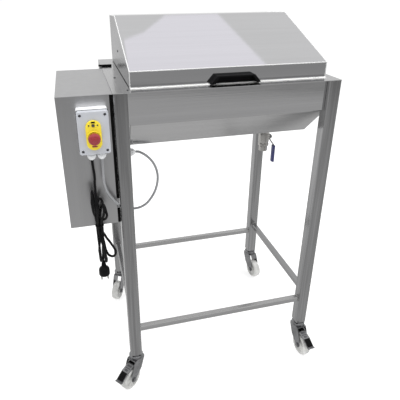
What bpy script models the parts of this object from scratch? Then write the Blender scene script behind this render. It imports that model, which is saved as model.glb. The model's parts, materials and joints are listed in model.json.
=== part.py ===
"""Stainless-steel trough mill on a castered frame, with a belt-driven hammer rotor under a hinged lid.

Metres, +Z up, +X to the machine's right, the operator stands at -Y. The origin is on the floor, under the
middle of the whole machine. Most places are written as (a, b, h): a to the right of the frame's left face,
b back from its front face, h down from the top of the rim.
"""
import math

import bmesh
import bpy
from mathutils import Matrix, Vector

# Driving dimensions
FRAME_WIDTH = 0.653
FRAME_DEPTH = 0.512
FRAME_MIDDLE = (0.0648, 0.0347)   # the frame's middle, so that the whole machine is centred on the origin
RIM_HEIGHT = 1.030
LEG_SIDE = 0.038
LEG_WALL = 0.0015
CASTER_HEIGHT = 0.128
SHEET = 0.0015
CLEAR = 0.0003
RAIL_SIDE = 0.020
CROSS_RAIL_DEPTH = 0.798          # h of the front and rear rails' middles
SIDE_RAIL_DEPTH = 0.7615
RIM_LEDGE = (0.056, 0.616, 0.048, 0.464)   # opening of the rim: left, right, front, rear
APRON_SETBACK = 0.014
APRON_HEIGHT = 0.090

PAN_LEFT = 0.0455
PAN_RIGHT = 0.634
PAN_FRONT = 0.0385
PAN_REAR = 0.4735
PAN_BREAK = 0.100                 # h where the walls start to slope in
PAN_BOTTOM = 0.171
PAN_INSET = 0.0426
PAN_RIGHT_INSET = 0.036
OUTLET = (0.545, 0.256)
OUTLET_RADIUS = 0.009
STEM_H = 0.252                    # h of the valve's stem
BALL_RADIUS = 0.013
GRIP = (0.2875, 0.350)            # h of the grip's ends

ROTOR_B = 0.256
ROTOR_H = 0.060
SHAFT_RADIUS = 0.010
DISC_RADIUS = 0.050
SLEEVE_RADIUS = 0.018
DISC_THICKNESS = 0.004
DISC_PLACES = (0.085, 0.330, 0.575)
PIN_CIRCLE = 0.035
PIN_RADIUS = 0.004
HAMMER_REACH = 0.035
SCREEN_RADIUS = 0.080
SCREEN_RIGHT = 0.600
BORE_CLEAR = 0.0003

LID_LEFT = 0.049
LID_RIGHT = 0.622
LID_FRONT = 0.0415
LID_LIFT = 0.0025
LID_REAR = 0.485
LID_RIDGE = (0.331, 0.160)        # b and height above the rim
LID_FRONT_HEIGHT = 0.0455
LID_REAR_HEIGHT = 0.151
HINGE_B = 0.4905
HINGE_RISE = 0.0085
HINGE_ROD_RADIUS = 0.004
ROD_INSET = 0.006                 # from the lid's end to the rod's end
FOOT_WIDTH = 0.014
FOOT_HEIGHT = 0.0115
FOOT_FRONT, FOOT_REAR = 0.0043, 0.008
KNUCKLE_WALL = 0.0028
KNUCKLE_LENGTH = 0.060
KNUCKLE_INSET = 0.051
PULL = (0.266, 0.412, 0.0035, 0.0250)   # left, right, and bottom and top above the rim
PULL_DEPTH = 0.020
PULL_SLOPE = 0.016
PULL_CORNER = 0.003
PULL_GUSSET = 0.008
PULL_LEDGE = 0.004
PULL_BACK = 0.003
SWITCH = (-0.008, 0.035, 0.372, 0.378)  # left, right, front and rear of the bar on the left flange
SWITCH_HEIGHT = 0.0055

BOX_GAP = 0.009
BOX_WIDTH = 0.132
BOX_DEPTH = 0.3395
BOX_HEIGHT = 0.3725
MOTOR = (0.200, 0.262)            # b and h of the motor's axis
MOTOR_RADIUS = 0.052
PULLEY_PLANE = (-0.040, -0.024)
ROTOR_PULLEY_RADIUS = 0.036
MOTOR_PULLEY_RADIUS = 0.024
GROOVE_DEPTH = 0.007
SPACER_RADIUS = 0.006
SPACER_B = 0.028
PLATE_HOLE = 0.016

PANEL = (-0.0945, -0.0175, 0.0275, 0.1375)  # control enclosure: left, right, top and bottom
PANEL_BASE_DEPTH = 0.032
PANEL_COVER_DEPTH = 0.018
PANEL_WALL = 0.003
BUTTON = (-0.0565, 0.0925)
PLATE = (0.0865, 0.019, 0.0385)   # h of its middle, half its width and half its height
PLATE_THICKNESS = 0.004
STEM_HOLE = 0.0085
CORD_RADIUS = 0.0034
CABLE_RADIUS = 0.0035
GLAND_LENGTH = 0.022
GLAND_B = -0.028
HANK_FRONT, HANK_REAR = -0.0560, -0.0060
PLUG_PLACE = (-0.062, -0.029, 0.4764)
PLUG_PIN = (0.0090, 0.0022)       # distance from the plug's middle, and radius
MAINS_GLAND_A = -0.066
MOTOR_GLAND_A = -0.0405
DRIVE_GLAND = (0.070, 0.1885)
DRIVE_GLAND_LENGTH = 0.0667

WHEEL_RADIUS = 0.039
WHEEL_WIDTH = 0.026
CASTER_TRAIL = 0.036
FORK_GAP = 0.032
FORK_PLATE = 0.0025
AXLE_RADIUS = 0.004
PEDAL_PIVOT = (0.010, 0.0945)     # distance behind the swivel axis, and height
TRAIL_ANGLES = {"front_left": 221.0, "front_right": -84.0, "rear_right": -78.0, "rear_left": 240.0}

LEFT = FRAME_MIDDLE[0] - FRAME_WIDTH / 2
FRONT = FRAME_MIDDLE[1] - FRAME_DEPTH / 2
X_AXIS, Y_AXIS, Z_AXIS = Vector((1, 0, 0)), Vector((0, 1, 0)), Vector((0, 0, 1))

# Routes of the two cables, as (a, b, h)
MAINS_ROUTE = [
    (-0.0660, -0.0280, 0.1601), (-0.0660, -0.0280, 0.1700), (-0.0655, -0.0280, 0.1830),
    (-0.0645, -0.0282, 0.1960), (-0.0640, -0.0286, 0.2090), (-0.0645, -0.0290, 0.2200),
    (-0.0655, -0.0290, 0.2297),
]
MOTOR_ROUTE = [
    (-0.0405, -0.0280, 0.1601), (-0.0405, -0.0280, 0.1720), (-0.0408, -0.0280, 0.1880),
    (-0.0414, -0.0280, 0.2040), (-0.0414, -0.0280, 0.2200), (-0.0402, -0.0278, 0.2350),
    (-0.0375, -0.0272, 0.2490), (-0.0333, -0.0260, 0.2620), (-0.0278, -0.0240, 0.2740),
    (-0.0214, -0.0215, 0.2850), (-0.0150, -0.0172, 0.2950), (-0.0092, -0.0105, 0.3045),
    (-0.0056, -0.0020, 0.3130), (-0.0045, 0.0085, 0.3210), (-0.0044, 0.0200, 0.3285),
    (-0.0044, 0.0315, 0.3360), (-0.0034, 0.0425, 0.3430), (0.0006, 0.0520, 0.3500),
    (0.0080, 0.0600, 0.3570), (0.0175, 0.0660, 0.3640), (0.0290, 0.0700, 0.3695),
    (0.0420, 0.0715, 0.3730), (0.0560, 0.0720, 0.3735), (0.0700, 0.0720, 0.3705),
    (0.0850, 0.0715, 0.3615), (0.0990, 0.0715, 0.3460), (0.1120, 0.0710, 0.3235),
    (0.1200, 0.0710, 0.2980), (0.1222, 0.0705, 0.2720), (0.1180, 0.0705, 0.2480),
    (0.1090, 0.0700, 0.2270), (0.0960, 0.0700, 0.2095), (0.0820, 0.0700, 0.1972),
    (0.0710, 0.0700, 0.1905), (0.0640, 0.0700, 0.1885), (0.0594, 0.0700, 0.1885),
]


def clear_scene():
    for obj in list(bpy.data.objects):
        bpy.data.objects.remove(obj, do_unlink=True)


def finish(name, colour, roughness, metallic):
    material = bpy.data.materials.new(name)
    material.use_nodes = True
    shader = material.node_tree.nodes["Principled BSDF"]
    shader.inputs["Base Color"].default_value = (*colour, 1)
    shader.inputs["Roughness"].default_value = roughness
    shader.inputs["Metallic"].default_value = metallic
    material.diffuse_color = (*colour, 1)
    return material


def place(a, b, h):
    """World place of a point given from the frame's left face, its front face and the top of the rim."""
    return Vector((LEFT + a, FRONT + b, RIM_HEIGHT - h))


# Shapes

def object_from(name, bm, material, smooth=False):
    """Closes the mesh's normals outwards and puts it in the scene."""
    bmesh.ops.recalc_face_normals(bm, faces=bm.faces)
    mesh = bpy.data.meshes.new(name)
    bm.to_mesh(mesh)
    bm.free()
    mesh.materials.append(material)
    if smooth:
        mesh.shade_smooth()
        mesh.set_sharp_from_angle(angle=math.radians(35))
    obj = bpy.data.objects.new(name, mesh)
    bpy.context.scene.collection.objects.link(obj)
    return obj


def block(name, low, high, material):
    low, high = Vector(low), Vector(high)
    bm = bmesh.new()
    middle = Matrix.Translation((low + high) / 2)
    bmesh.ops.create_cube(bm, size=1, matrix=middle @ Matrix.Diagonal((*(high - low), 1)))
    return object_from(name, bm, material)


def slab(name, first, second, material):
    """A block between two opposite corners given as (a, b, h)."""
    one, other = place(*first), place(*second)
    low = [min(pair) for pair in zip(one, other)]
    high = [max(pair) for pair in zip(one, other)]
    return block(name, low, high, material)


def prism(name, outline, axis, start, end, material, smooth=False):
    """An outline of (u, v) pairs drawn out along X, Y or Z between two world distances."""
    order = {"X": (2, 0, 1), "Y": (0, 2, 1), "Z": (0, 1, 2)}[axis]
    bm = bmesh.new()

    def ring(distance):
        corners = [(u, v, distance) for u, v in outline]
        return [bm.verts.new([corner[k] for k in order]) for corner in corners]

    near, far = ring(start), ring(end)
    bm.faces.new(near)
    bm.faces.new(far)
    for k in range(len(outline)):
        following = (k + 1) % len(outline)
        bm.faces.new((near[k], near[following], far[following], far[k]))
    return object_from(name, bm, material, smooth)


def turned(name, profile, centre, axis, material, steps=20):
    """A profile of (radius, distance) pairs turned about an axis. With no radius of 0 it is a closed ring."""
    bm = bmesh.new()
    rings = []
    for radius, distance in profile:
        count = steps if radius > 0 else 1
        turns = [math.tau * k / steps for k in range(count)]
        rings.append([bm.verts.new((radius * math.cos(t), radius * math.sin(t), distance)) for t in turns])
    closed = all(radius > 0 for radius, _ in profile)
    for lower, upper in zip(rings, rings[1:] + (rings[:1] if closed else [])):
        for k in range(steps):
            corners = (lower[k % len(lower)], lower[(k + 1) % len(lower)],
                       upper[(k + 1) % len(upper)], upper[k % len(upper)])
            unique = list(dict.fromkeys(corners))
            if len(unique) > 2:
                bm.faces.new(unique)
    obj = object_from(name, bm, material, smooth=True)
    obj.location = centre
    obj.rotation_mode = "QUATERNION"
    obj.rotation_quaternion = Z_AXIS.rotation_difference(axis)
    return obj


def rod(name, radius, start, end, material, steps=16):
    """A plain round bar between two world points."""
    length = (end - start).length
    profile = [(0, 0), (radius, 0), (radius, length), (0, length)]
    return turned(name, profile, start, (end - start).normalized(), material, steps)


def chamfered_square(half, corner):
    inner = half - corner
    return [(half, -inner), (half, inner), (inner, half), (-inner, half),
            (-half, inner), (-half, -inner), (-inner, -half), (inner, -half)]


def square_tube(name, side, wall, start, end, material):
    """A hollow square tube along one world axis, open at both ends."""
    axis = (end - start).normalized()
    turn = Z_AXIS.rotation_difference(axis).to_matrix().to_4x4()
    bm = bmesh.new()
    outer = chamfered_square(side / 2, 0.003)
    inner = chamfered_square(side / 2 - wall, 0.002)
    length = (end - start).length
    rings = []
    for outline, distance in ((outer, 0), (outer, length), (inner, length), (inner, 0)):
        rings.append([bm.verts.new(turn @ Vector((u, v, distance))) for u, v in outline])
    for near, far in zip(rings, rings[1:] + rings[:1]):
        for k in range(8):
            following = (k + 1) % 8
            bm.faces.new((near[k], near[following], far[following], far[k]))
    obj = object_from(name, bm, material)
    obj.location = start
    return obj


def rounded_outline(left, right, bottom, top, radius, steps=4):
    """A rectangle with round corners, as (u, v) pairs."""
    middles = [(right - radius, top - radius), (left + radius, top - radius),
               (left + radius, bottom + radius), (right - radius, bottom + radius)]
    points = []
    for quarter, (u, v) in enumerate(middles):
        for k in range(steps + 1):
            turn = math.pi / 2 * (quarter + k / steps)
            points.append((u + radius * math.cos(turn), v + radius * math.sin(turn)))
    return points


def arc(centre, radius, first, last, steps):
    turns = [math.radians(first + (last - first) * k / steps) for k in range(steps + 1)]
    return [(centre[0] + radius * math.cos(t), centre[1] + radius * math.sin(t)) for t in turns]


def combine(obj, tool, operation):
    """Cuts a tool out of an object, or joins it on. The tool stays as a hidden guide."""
    modifier = obj.modifiers.new(operation.title(), "BOOLEAN")
    modifier.operation = operation
    modifier.object = tool
    tool.hide_render = True
    tool.display_type = "WIRE"
    tool.hide_set(True)


def cut(obj, *tools):
    for tool in tools:
        combine(obj, tool, "DIFFERENCE")


def join(obj, *tools):
    for tool in tools:
        combine(obj, tool, "UNION")


def bake(obj):
    """Turns an object's modifiers into its mesh, so that copies can share it."""
    bpy.context.view_layer.update()
    graph = bpy.context.evaluated_depsgraph_get()
    mesh = bpy.data.meshes.new_from_object(obj.evaluated_get(graph))
    for modifier in list(obj.modifiers):
        bpy.data.objects.remove(modifier.object, do_unlink=True)
    obj.modifiers.clear()
    obj.data = mesh
    return obj


def sheet_shell(name, corners, faces, material):
    """Bent sheet metal: flat faces through the outside corners, thickened inwards."""
    mesh = bpy.data.meshes.new(name)
    mesh.from_pydata([place(*corner) for corner in corners], [], faces)
    mesh.materials.append(material)
    obj = bpy.data.objects.new(name, mesh)
    bpy.context.scene.collection.objects.link(obj)
    modifier = obj.modifiers.new("Thickness", "SOLIDIFY")
    modifier.thickness = SHEET
    modifier.offset = -1
    modifier.use_even_offset = True
    modifier.use_quality_normals = True
    return obj


# Frame, rim and pan

def make_frame(steel):
    side = LEG_SIDE / 2
    right, rear = FRAME_WIDTH - side, FRAME_DEPTH - side
    leg_places = {"front_left": (side, side), "front_right": (right, side),
                  "rear_left": (side, rear), "rear_right": (right, rear)}
    foot = RIM_HEIGHT - CASTER_HEIGHT
    for name, (a, b) in leg_places.items():
        square_tube("leg_" + name, LEG_SIDE, LEG_WALL, place(a, b, foot), place(a, b, SHEET + CLEAR), steel)
    inner = LEG_SIDE + CLEAR
    for name, b in (("rail_front", side), ("rail_rear", FRAME_DEPTH - side)):
        square_tube(name, RAIL_SIDE, LEG_WALL, place(inner, b, CROSS_RAIL_DEPTH),
                    place(FRAME_WIDTH - inner, b, CROSS_RAIL_DEPTH), steel)
    for name, a in (("rail_left", side), ("rail_right", FRAME_WIDTH - side)):
        square_tube(name, RAIL_SIDE, LEG_WALL, place(a, inner, SIDE_RAIL_DEPTH),
                    place(a, FRAME_DEPTH - inner, SIDE_RAIL_DEPTH), steel)
    return leg_places


def make_rim(steel):
    """The flange on the legs, with its folded-down aprons between the legs at the front, right and rear."""
    rim = slab("rim_frame", (0, 0, 0), (FRAME_WIDTH, FRAME_DEPTH, SHEET), steel)
    left, right, front, rear = RIM_LEDGE
    cut(rim, slab("rim_opening", (left, front, -0.01), (right, rear, 0.01), steel))
    inner = LEG_SIDE + 0.0005
    far, low = FRAME_WIDTH - inner, APRON_HEIGHT
    for name, b in (("front", APRON_SETBACK), ("rear", FRAME_DEPTH - APRON_SETBACK - SHEET)):
        join(rim, slab("apron_" + name, (inner, b, SHEET / 2), (far, b + SHEET, low), steel))
    a = FRAME_WIDTH - APRON_SETBACK - SHEET
    join(rim, slab("apron_right", (a, inner, SHEET / 2), (a + SHEET, FRAME_DEPTH - inner, low), steel))


def make_pan(steel):
    """The open pan under the rim: upright walls, sloping lower walls, a flat bottom, and no left end."""
    top = SHEET + CLEAR
    levels = ((top, 0, 0), (PAN_BREAK, 0, 0), (PAN_BOTTOM, PAN_INSET, PAN_RIGHT_INSET))
    corners = []
    for h, inset, right_inset in levels:
        corners += [(PAN_LEFT, PAN_FRONT + inset, h), (PAN_RIGHT - right_inset, PAN_FRONT + inset, h),
                    (PAN_RIGHT - right_inset, PAN_REAR - inset, h), (PAN_LEFT, PAN_REAR - inset, h)]
    faces = [(8, 11, 10, 9)]
    for lower, upper in ((4, 0), (8, 4)):
        for k in range(3):
            faces.append((lower + k, lower + k + 1, upper + k + 1, upper + k))
    pan = sheet_shell("trough_pan", corners, faces, steel)
    a, b = OUTLET
    cut(pan, rod("outlet_hole", OUTLET_RADIUS, place(a, b, PAN_BOTTOM + 0.01), place(a, b, PAN_BOTTOM - 0.01),
                 steel))

    left = PAN_LEFT - CLEAR - SHEET
    outline = [(PAN_FRONT, top), (PAN_REAR, top), (PAN_REAR, PAN_BREAK), (PAN_REAR - PAN_INSET, PAN_BOTTOM),
               (PAN_FRONT + PAN_INSET, PAN_BOTTOM), (PAN_FRONT, PAN_BREAK)]
    outline = [(FRONT + b, RIM_HEIGHT - h) for b, h in outline]
    plate = prism("end_plate_left", outline, "X", LEFT + left, LEFT + left + SHEET, steel)
    cut(plate, rod("shaft_hole", SHAFT_RADIUS + 0.0025, place(left - 0.01, ROTOR_B, ROTOR_H),
                   place(left + 0.01, ROTOR_B, ROTOR_H), steel))


def make_screen(steel):
    """The half-round screen below the rotor, with wings that slope up to the pan's walls."""
    centre = (FRONT + ROTOR_B, RIM_HEIGHT - ROTOR_H)
    wing_front, wing_rear = PAN_FRONT + 0.0025, PAN_REAR - 0.0025
    wing_rise = 0.028
    outer = SCREEN_RADIUS + 0.002
    upper = [(FRONT + wing_rear, RIM_HEIGHT - wing_rise)]
    upper += arc(centre, SCREEN_RADIUS, 0, -180, 14)
    upper += [(FRONT + wing_front, RIM_HEIGHT - wing_rise)]
    lower = [(FRONT + wing_front, RIM_HEIGHT - wing_rise - 0.002)]
    lower += arc(centre, outer, -180, 0, 14)
    lower += [(FRONT + wing_rear, RIM_HEIGHT - wing_rise - 0.002)]
    prism("screen", upper + lower, "X", LEFT + PAN_LEFT + 0.001, LEFT + SCREEN_RIGHT, steel)


# Lid

def make_lid(steel):
    ridge, ridge_height = LID_RIDGE
    profile = [(LID_FRONT, -LID_LIFT), (LID_FRONT, -LID_FRONT_HEIGHT), (ridge, -ridge_height),
               (LID_REAR, -LID_REAR_HEIGHT), (LID_REAR, -LID_LIFT)]
    corners = [(a, b, h) for a in (LID_LEFT, LID_RIGHT) for b, h in profile]
    faces = [(0, 1, 2, 3, 4), (9, 8, 7, 6, 5)]
    faces += [(k, k + 5, k + 6, k + 1) for k in range(4)]
    lid = sheet_shell("lid_shell", corners, faces, steel)
    inner, outer = HINGE_ROD_RADIUS + BORE_CLEAR, HINGE_ROD_RADIUS + KNUCKLE_WALL
    for name, a in (("left", KNUCKLE_INSET + LID_LEFT), ("right", LID_RIGHT - KNUCKLE_INSET - KNUCKLE_LENGTH)):
        start = place(a, HINGE_B, -HINGE_RISE)
        profile = [(outer, 0), (outer, KNUCKLE_LENGTH), (inner, KNUCKLE_LENGTH), (inner, 0)]
        join(lid, turned("knuckle_" + name, profile, start, X_AXIS, steel, 16))

    left, right = LID_LEFT + ROD_INSET, LID_RIGHT - ROD_INSET
    hinge = rod("hinge_rod", HINGE_ROD_RADIUS, place(left, HINGE_B, -HINGE_RISE),
                place(right, HINGE_B, -HINGE_RISE), steel)
    for name, a in (("left", left + CLEAR), ("right", right - CLEAR - FOOT_WIDTH)):
        join(hinge, slab("hinge_foot_" + name, (a, HINGE_B - FOOT_FRONT, -CLEAR),
                         (a + FOOT_WIDTH, HINGE_B + FOOT_REAR, -FOOT_HEIGHT), steel))


def make_lid_pull(black):
    """A ledge on the lid's front face, with gussets at its ends and room for fingers under it."""
    left, right, bottom, top = PULL
    face = FRONT + LID_FRONT - CLEAR
    low, high = RIM_HEIGHT + bottom, RIM_HEIGHT + top
    near, far = left + PULL_SLOPE, right - PULL_SLOPE
    outer = [(left, low), (right, low), (far, high - PULL_CORNER), (far - PULL_CORNER, high),
             (near + PULL_CORNER, high), (near, high - PULL_CORNER)]
    pull = prism("lid_pull", [(LEFT + a, z) for a, z in outer], "Y", face - PULL_DEPTH, face, black)
    left, right = left + PULL_GUSSET, right - PULL_GUSSET
    hollow = [(left, low - PULL_GUSSET), (right, low - PULL_GUSSET), (right - PULL_SLOPE, high - PULL_LEDGE),
              (left + PULL_SLOPE, high - PULL_LEDGE)]
    hollow = [(LEFT + a, z) for a, z in hollow]
    cut(pull, prism("pull_hollow", hollow, "Y", face - 2 * PULL_DEPTH, face - PULL_BACK, black))


def make_lid_switch(black):
    """The slim safety switch that the closed lid rests beside."""
    left, right, front, rear = SWITCH
    outline = rounded_outline(LEFT + left, LEFT + right, FRONT + front, FRONT + rear, 0.0015, 2)
    prism("lid_switch", outline, "Z", RIM_HEIGHT + CLEAR, RIM_HEIGHT + CLEAR + SWITCH_HEIGHT, black)


# Rotor and drive

def ring_profile(bore, parts):
    """A stepped ring: (outer radius, from, to) parts along one bore."""
    profile = []
    for radius, start, end in parts:
        profile += [(radius, start), (radius, end)]
    return profile + [(bore, parts[-1][2]), (bore, parts[0][1])]


def make_rotor(steel, cast):
    bore = SHAFT_RADIUS + BORE_CLEAR
    rod("rotor_shaft", SHAFT_RADIUS, place(PULLEY_PLANE[0] - 0.004, ROTOR_B, ROTOR_H),
        place(PAN_RIGHT - 0.0075, ROTOR_B, ROTOR_H), steel, 20)
    parts = []
    for k, a in enumerate(DISC_PLACES):
        parts.append((DISC_RADIUS, a, a + DISC_THICKNESS))
        if k + 1 < len(DISC_PLACES):
            parts.append((SLEEVE_RADIUS, a + DISC_THICKNESS, DISC_PLACES[k + 1]))
    drum = turned("rotor_drum", ring_profile(bore, parts), place(0, ROTOR_B, ROTOR_H), X_AXIS, cast, 20)
    first, last = DISC_PLACES[0], DISC_PLACES[-1] + DISC_THICKNESS
    for name, side in (("front", -1), ("rear", 1)):
        b = ROTOR_B + side * PIN_CIRCLE
        join(drum, rod("hammer_pin_" + name, PIN_RADIUS, place(first - 0.002, b, ROTOR_H),
                       place(last + 0.002, b, ROTOR_H), steel, 10))

    eye, thickness = 0.009, 0.005
    for name, side in (("front", -1), ("rear", 1)):
        centre = (FRONT + ROTOR_B + side * PIN_CIRCLE, RIM_HEIGHT - ROTOR_H)
        outline = arc(centre, eye, 0, 180, 8)
        tip = centre[1] - HAMMER_REACH
        outline += [(centre[0] - thickness, tip), (centre[0] + thickness, tip)]
        for bay, (start, end) in enumerate(zip(DISC_PLACES, DISC_PLACES[1:])):
            low, high = LEFT + start + DISC_THICKNESS + 0.002, LEFT + end - 0.002
            hammer = prism("hammer_%s_%d" % (name, bay + 1), outline, "X", low, high, cast)
            pin_hole = rod("hammer_hole_%s_%d" % (name, bay + 1), PIN_RADIUS + BORE_CLEAR,
                           Vector((low - 0.01, *centre)), Vector((high + 0.01, *centre)), steel, 12)
            cut(hammer, pin_hole)


def make_bearings(cast):
    bore = SHAFT_RADIUS + BORE_CLEAR
    left = PAN_LEFT - 2 * CLEAR - SHEET
    parts = [(0.020, left - 0.024, left - 0.005), (0.031, left - 0.005, left)]
    turned("bearing_left", ring_profile(bore, parts), place(0, ROTOR_B, ROTOR_H), X_AXIS, cast)
    right = PAN_RIGHT - SHEET - CLEAR
    parts = [(0.020, right - 0.024, right - 0.005), (0.031, right - 0.005, right)]
    turned("bearing_right", ring_profile(bore, parts), place(0, ROTOR_B, ROTOR_H), X_AXIS, cast)


def pulley_parts(radius):
    """A pulley between its two flanks, with a groove for the belt."""
    start, end = PULLEY_PLANE
    floor = radius - GROOVE_DEPTH
    return [(radius, start, start + 0.0025), (floor, start + 0.0025, end - 0.0025), (radius, end - 0.0025, end)]


def make_drive(steel, cast, rubber, paint):
    start, end = PULLEY_PLANE
    turned("rotor_pulley", ring_profile(SHAFT_RADIUS + BORE_CLEAR, pulley_parts(ROTOR_PULLEY_RADIUS)),
           place(0, ROTOR_B, ROTOR_H), X_AXIS, cast)

    b, h = MOTOR
    face = -0.047
    profile = [(0, -0.129), (0.040, -0.129), (0.047, -0.124), (0.047, -0.104), (MOTOR_RADIUS, -0.103),
               (MOTOR_RADIUS, -0.058), (0.044, -0.056), (0.044, -0.050), (0.020, face), (0, face)]
    motor = turned("motor_body", profile, place(0, b, h), X_AXIS, paint, 20)
    join(motor, slab("motor_foot", (-0.112, b - 0.040, h + 0.035),
                     (-0.055, b + 0.040, BOX_HEIGHT - SHEET - CLEAR), paint))

    parts = pulley_parts(MOTOR_PULLEY_RADIUS)
    profile = [(0, face + CLEAR), (0.007, face + CLEAR), (0.007, start)]
    for radius, low, high in parts:
        profile += [(radius, low), (radius, high)]
    profile += [(0.007, end), (0.007, end + 0.005), (0, end + 0.005)]
    turned("motor_pulley", profile, place(0, b, h), X_AXIS, cast)

    make_belt(rubber)


def belt_outline(extra):
    """The belt's path around both pulleys, as (y, z) pairs, at a distance outside the groove floors."""
    big = Vector((FRONT + ROTOR_B, RIM_HEIGHT - ROTOR_H))
    small = Vector((FRONT + MOTOR[0], RIM_HEIGHT - MOTOR[1]))
    big_radius = ROTOR_PULLEY_RADIUS - GROOVE_DEPTH + extra
    small_radius = MOTOR_PULLEY_RADIUS - GROOVE_DEPTH + extra
    along = big - small
    lean = math.degrees(math.atan2(along.y, along.x))
    spread = math.degrees(math.acos((small_radius - big_radius) / along.length))
    points = arc(big, big_radius, lean - spread, lean + spread, 14)
    points += arc(small, small_radius, lean + spread, lean + 360 - spread, 12)
    return points


def make_belt(rubber):
    start, end = PULLEY_PLANE
    low, high = LEFT + start + 0.003, LEFT + end - 0.003
    belt = prism("drive_belt", belt_outline(0.0062), "X", low, high, rubber)
    cut(belt, prism("belt_inside", belt_outline(0.0004), "X", low - 0.01, high + 0.01, rubber))


def make_drive_box(steel):
    left, right, back, low = -BOX_GAP - BOX_WIDTH, -BOX_GAP, BOX_DEPTH, BOX_HEIGHT
    corners = [(right, 0, 0.0), (left, 0, 0.0), (left, back, 0.0), (right, back, 0.0),
               (right, 0, low), (left, 0, low), (left, back, low), (right, back, low)]
    faces = [(0, 3, 2, 1), (0, 1, 5, 4), (1, 2, 6, 5), (2, 3, 7, 6), (4, 5, 6, 7)]
    cover = sheet_shell("drive_cover", corners, faces, steel)
    join(cover, slab("gap_strip", (right - 0.002, 0, 0), (-CLEAR, back, SHEET), steel))

    edge = SHEET + CLEAR
    plate = slab("drive_plate", (right - 0.0025, edge, edge), (right - 0.0005, back - edge, low - edge), steel)
    for name, h in (("upper", 0.060), ("lower", 0.240)):
        start, end = place(right - SHEET, SPACER_B, h), place(-CLEAR, SPACER_B, h)
        join(plate, rod("spacer_" + name, SPACER_RADIUS, start, end, steel, 12))
    start, end = place(right - 0.02, ROTOR_B, ROTOR_H), place(0, ROTOR_B, ROTOR_H)
    cut(plate, rod("plate_shaft_hole", PLATE_HOLE, start, end, steel))


# Controls and cables

def make_controls(grey, yellow, red):
    left, right, top, bottom = PANEL
    front = -CLEAR - PANEL_BASE_DEPTH
    outline = rounded_outline(LEFT + left, LEFT + right, RIM_HEIGHT - bottom, RIM_HEIGHT - top, 0.005)
    base = prism("control_base", outline, "Y", FRONT + front, FRONT - CLEAR, grey)
    inside = rounded_outline(LEFT + left + PANEL_WALL, LEFT + right - PANEL_WALL,
                             RIM_HEIGHT - bottom + PANEL_WALL, RIM_HEIGHT - top - PANEL_WALL, PANEL_WALL)
    cut(base, prism("control_inside", inside, "Y", FRONT + front - 0.01, FRONT - CLEAR - PANEL_WALL, grey))
    cover_front = front - CLEAR - PANEL_COVER_DEPTH
    cover = prism("control_cover", outline, "Y", FRONT + cover_front, FRONT + front - CLEAR, grey)

    a, h = BUTTON
    centre_h, half_width, half_height = PLATE
    outline = rounded_outline(LEFT + a - half_width, LEFT + a + half_width, RIM_HEIGHT - centre_h - half_height,
                              RIM_HEIGHT - centre_h + half_height, half_width - 0.0005, 8)
    face = cover_front - CLEAR
    plate = prism("switch_plate", outline, "Y", FRONT + face - PLATE_THICKNESS, FRONT + face, yellow)
    hole = (place(a, face - 0.02, h), place(a, face + PANEL_COVER_DEPTH + 0.001, h))
    cut(plate, rod("plate_STEM_Hole", STEM_HOLE, *hole, grey))
    cut(cover, rod("cover_STEM_Hole", STEM_HOLE, *hole, grey))

    profile = [(0, 0.014), (0.0078, 0.014), (0.0078, -0.0095), (0.0135, -0.0098), (0.0150, -0.0125),
               (0.0150, -0.0175), (0.0130, -0.0215), (0.0080, -0.0240), (0, -0.0250)]
    turned("stop_button", profile, place(a, face, h), Y_AXIS, red, 20)


def make_gland(name, start, axis, material, length=GLAND_LENGTH):
    """A cable gland: body, nut and the round end that the cable leaves."""
    profile = [(0, 0), (0.0095, 0), (0.0095, 0.30 * length), (0.0115, 0.32 * length), (0.0115, 0.68 * length),
               (0.0100, 0.74 * length), (0.0078, 0.90 * length), (0.0060, length), (0, length)]
    turned(name, profile, start, axis, material, 14)


def make_cable(name, route, radius, material):
    """A tube on a smooth curve through the route's points."""
    points = smooth_path([place(*point) for point in route], 2.4 * 2 * radius)
    curve = bpy.data.curves.new(name, "CURVE")
    curve.dimensions = "3D"
    curve.bevel_depth = radius
    curve.bevel_resolution = 2
    curve.use_fill_caps = True
    spline = curve.splines.new("POLY")
    spline.points.add(len(points) - 1)
    for target, point in zip(spline.points, points):
        target.co = (*point, 1)
    curve.materials.append(material)
    obj = bpy.data.objects.new(name, curve)
    bpy.context.scene.collection.objects.link(obj)


def smooth_path(points, step):
    """Points about one step apart on a Catmull-Rom curve through the given points."""
    ends = [points[0] * 2 - points[1]] + points + [points[-1] * 2 - points[-2]]
    fine = []
    for p0, p1, p2, p3 in zip(ends, ends[1:], ends[2:], ends[3:]):
        for k in range(12):
            t = k / 12
            fine.append(0.5 * (2 * p1 + (p2 - p0) * t + (2 * p0 - 5 * p1 + 4 * p2 - p3) * t ** 2
                               + (3 * p1 - p0 - 3 * p2 + p3) * t ** 3))
    fine.append(points[-1])
    total = sum((b - a).length for a, b in zip(fine, fine[1:]))
    count = max(2, round(total / step))
    path, travelled, wanted = [fine[0]], 0.0, total / count
    for a, b in zip(fine, fine[1:]):
        span = (b - a).length
        while len(path) < count and travelled + span >= wanted * len(path):
            path.append(a.lerp(b, (wanted * len(path) - travelled) / span))
        travelled += span
    return path + [fine[-1]]


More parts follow.
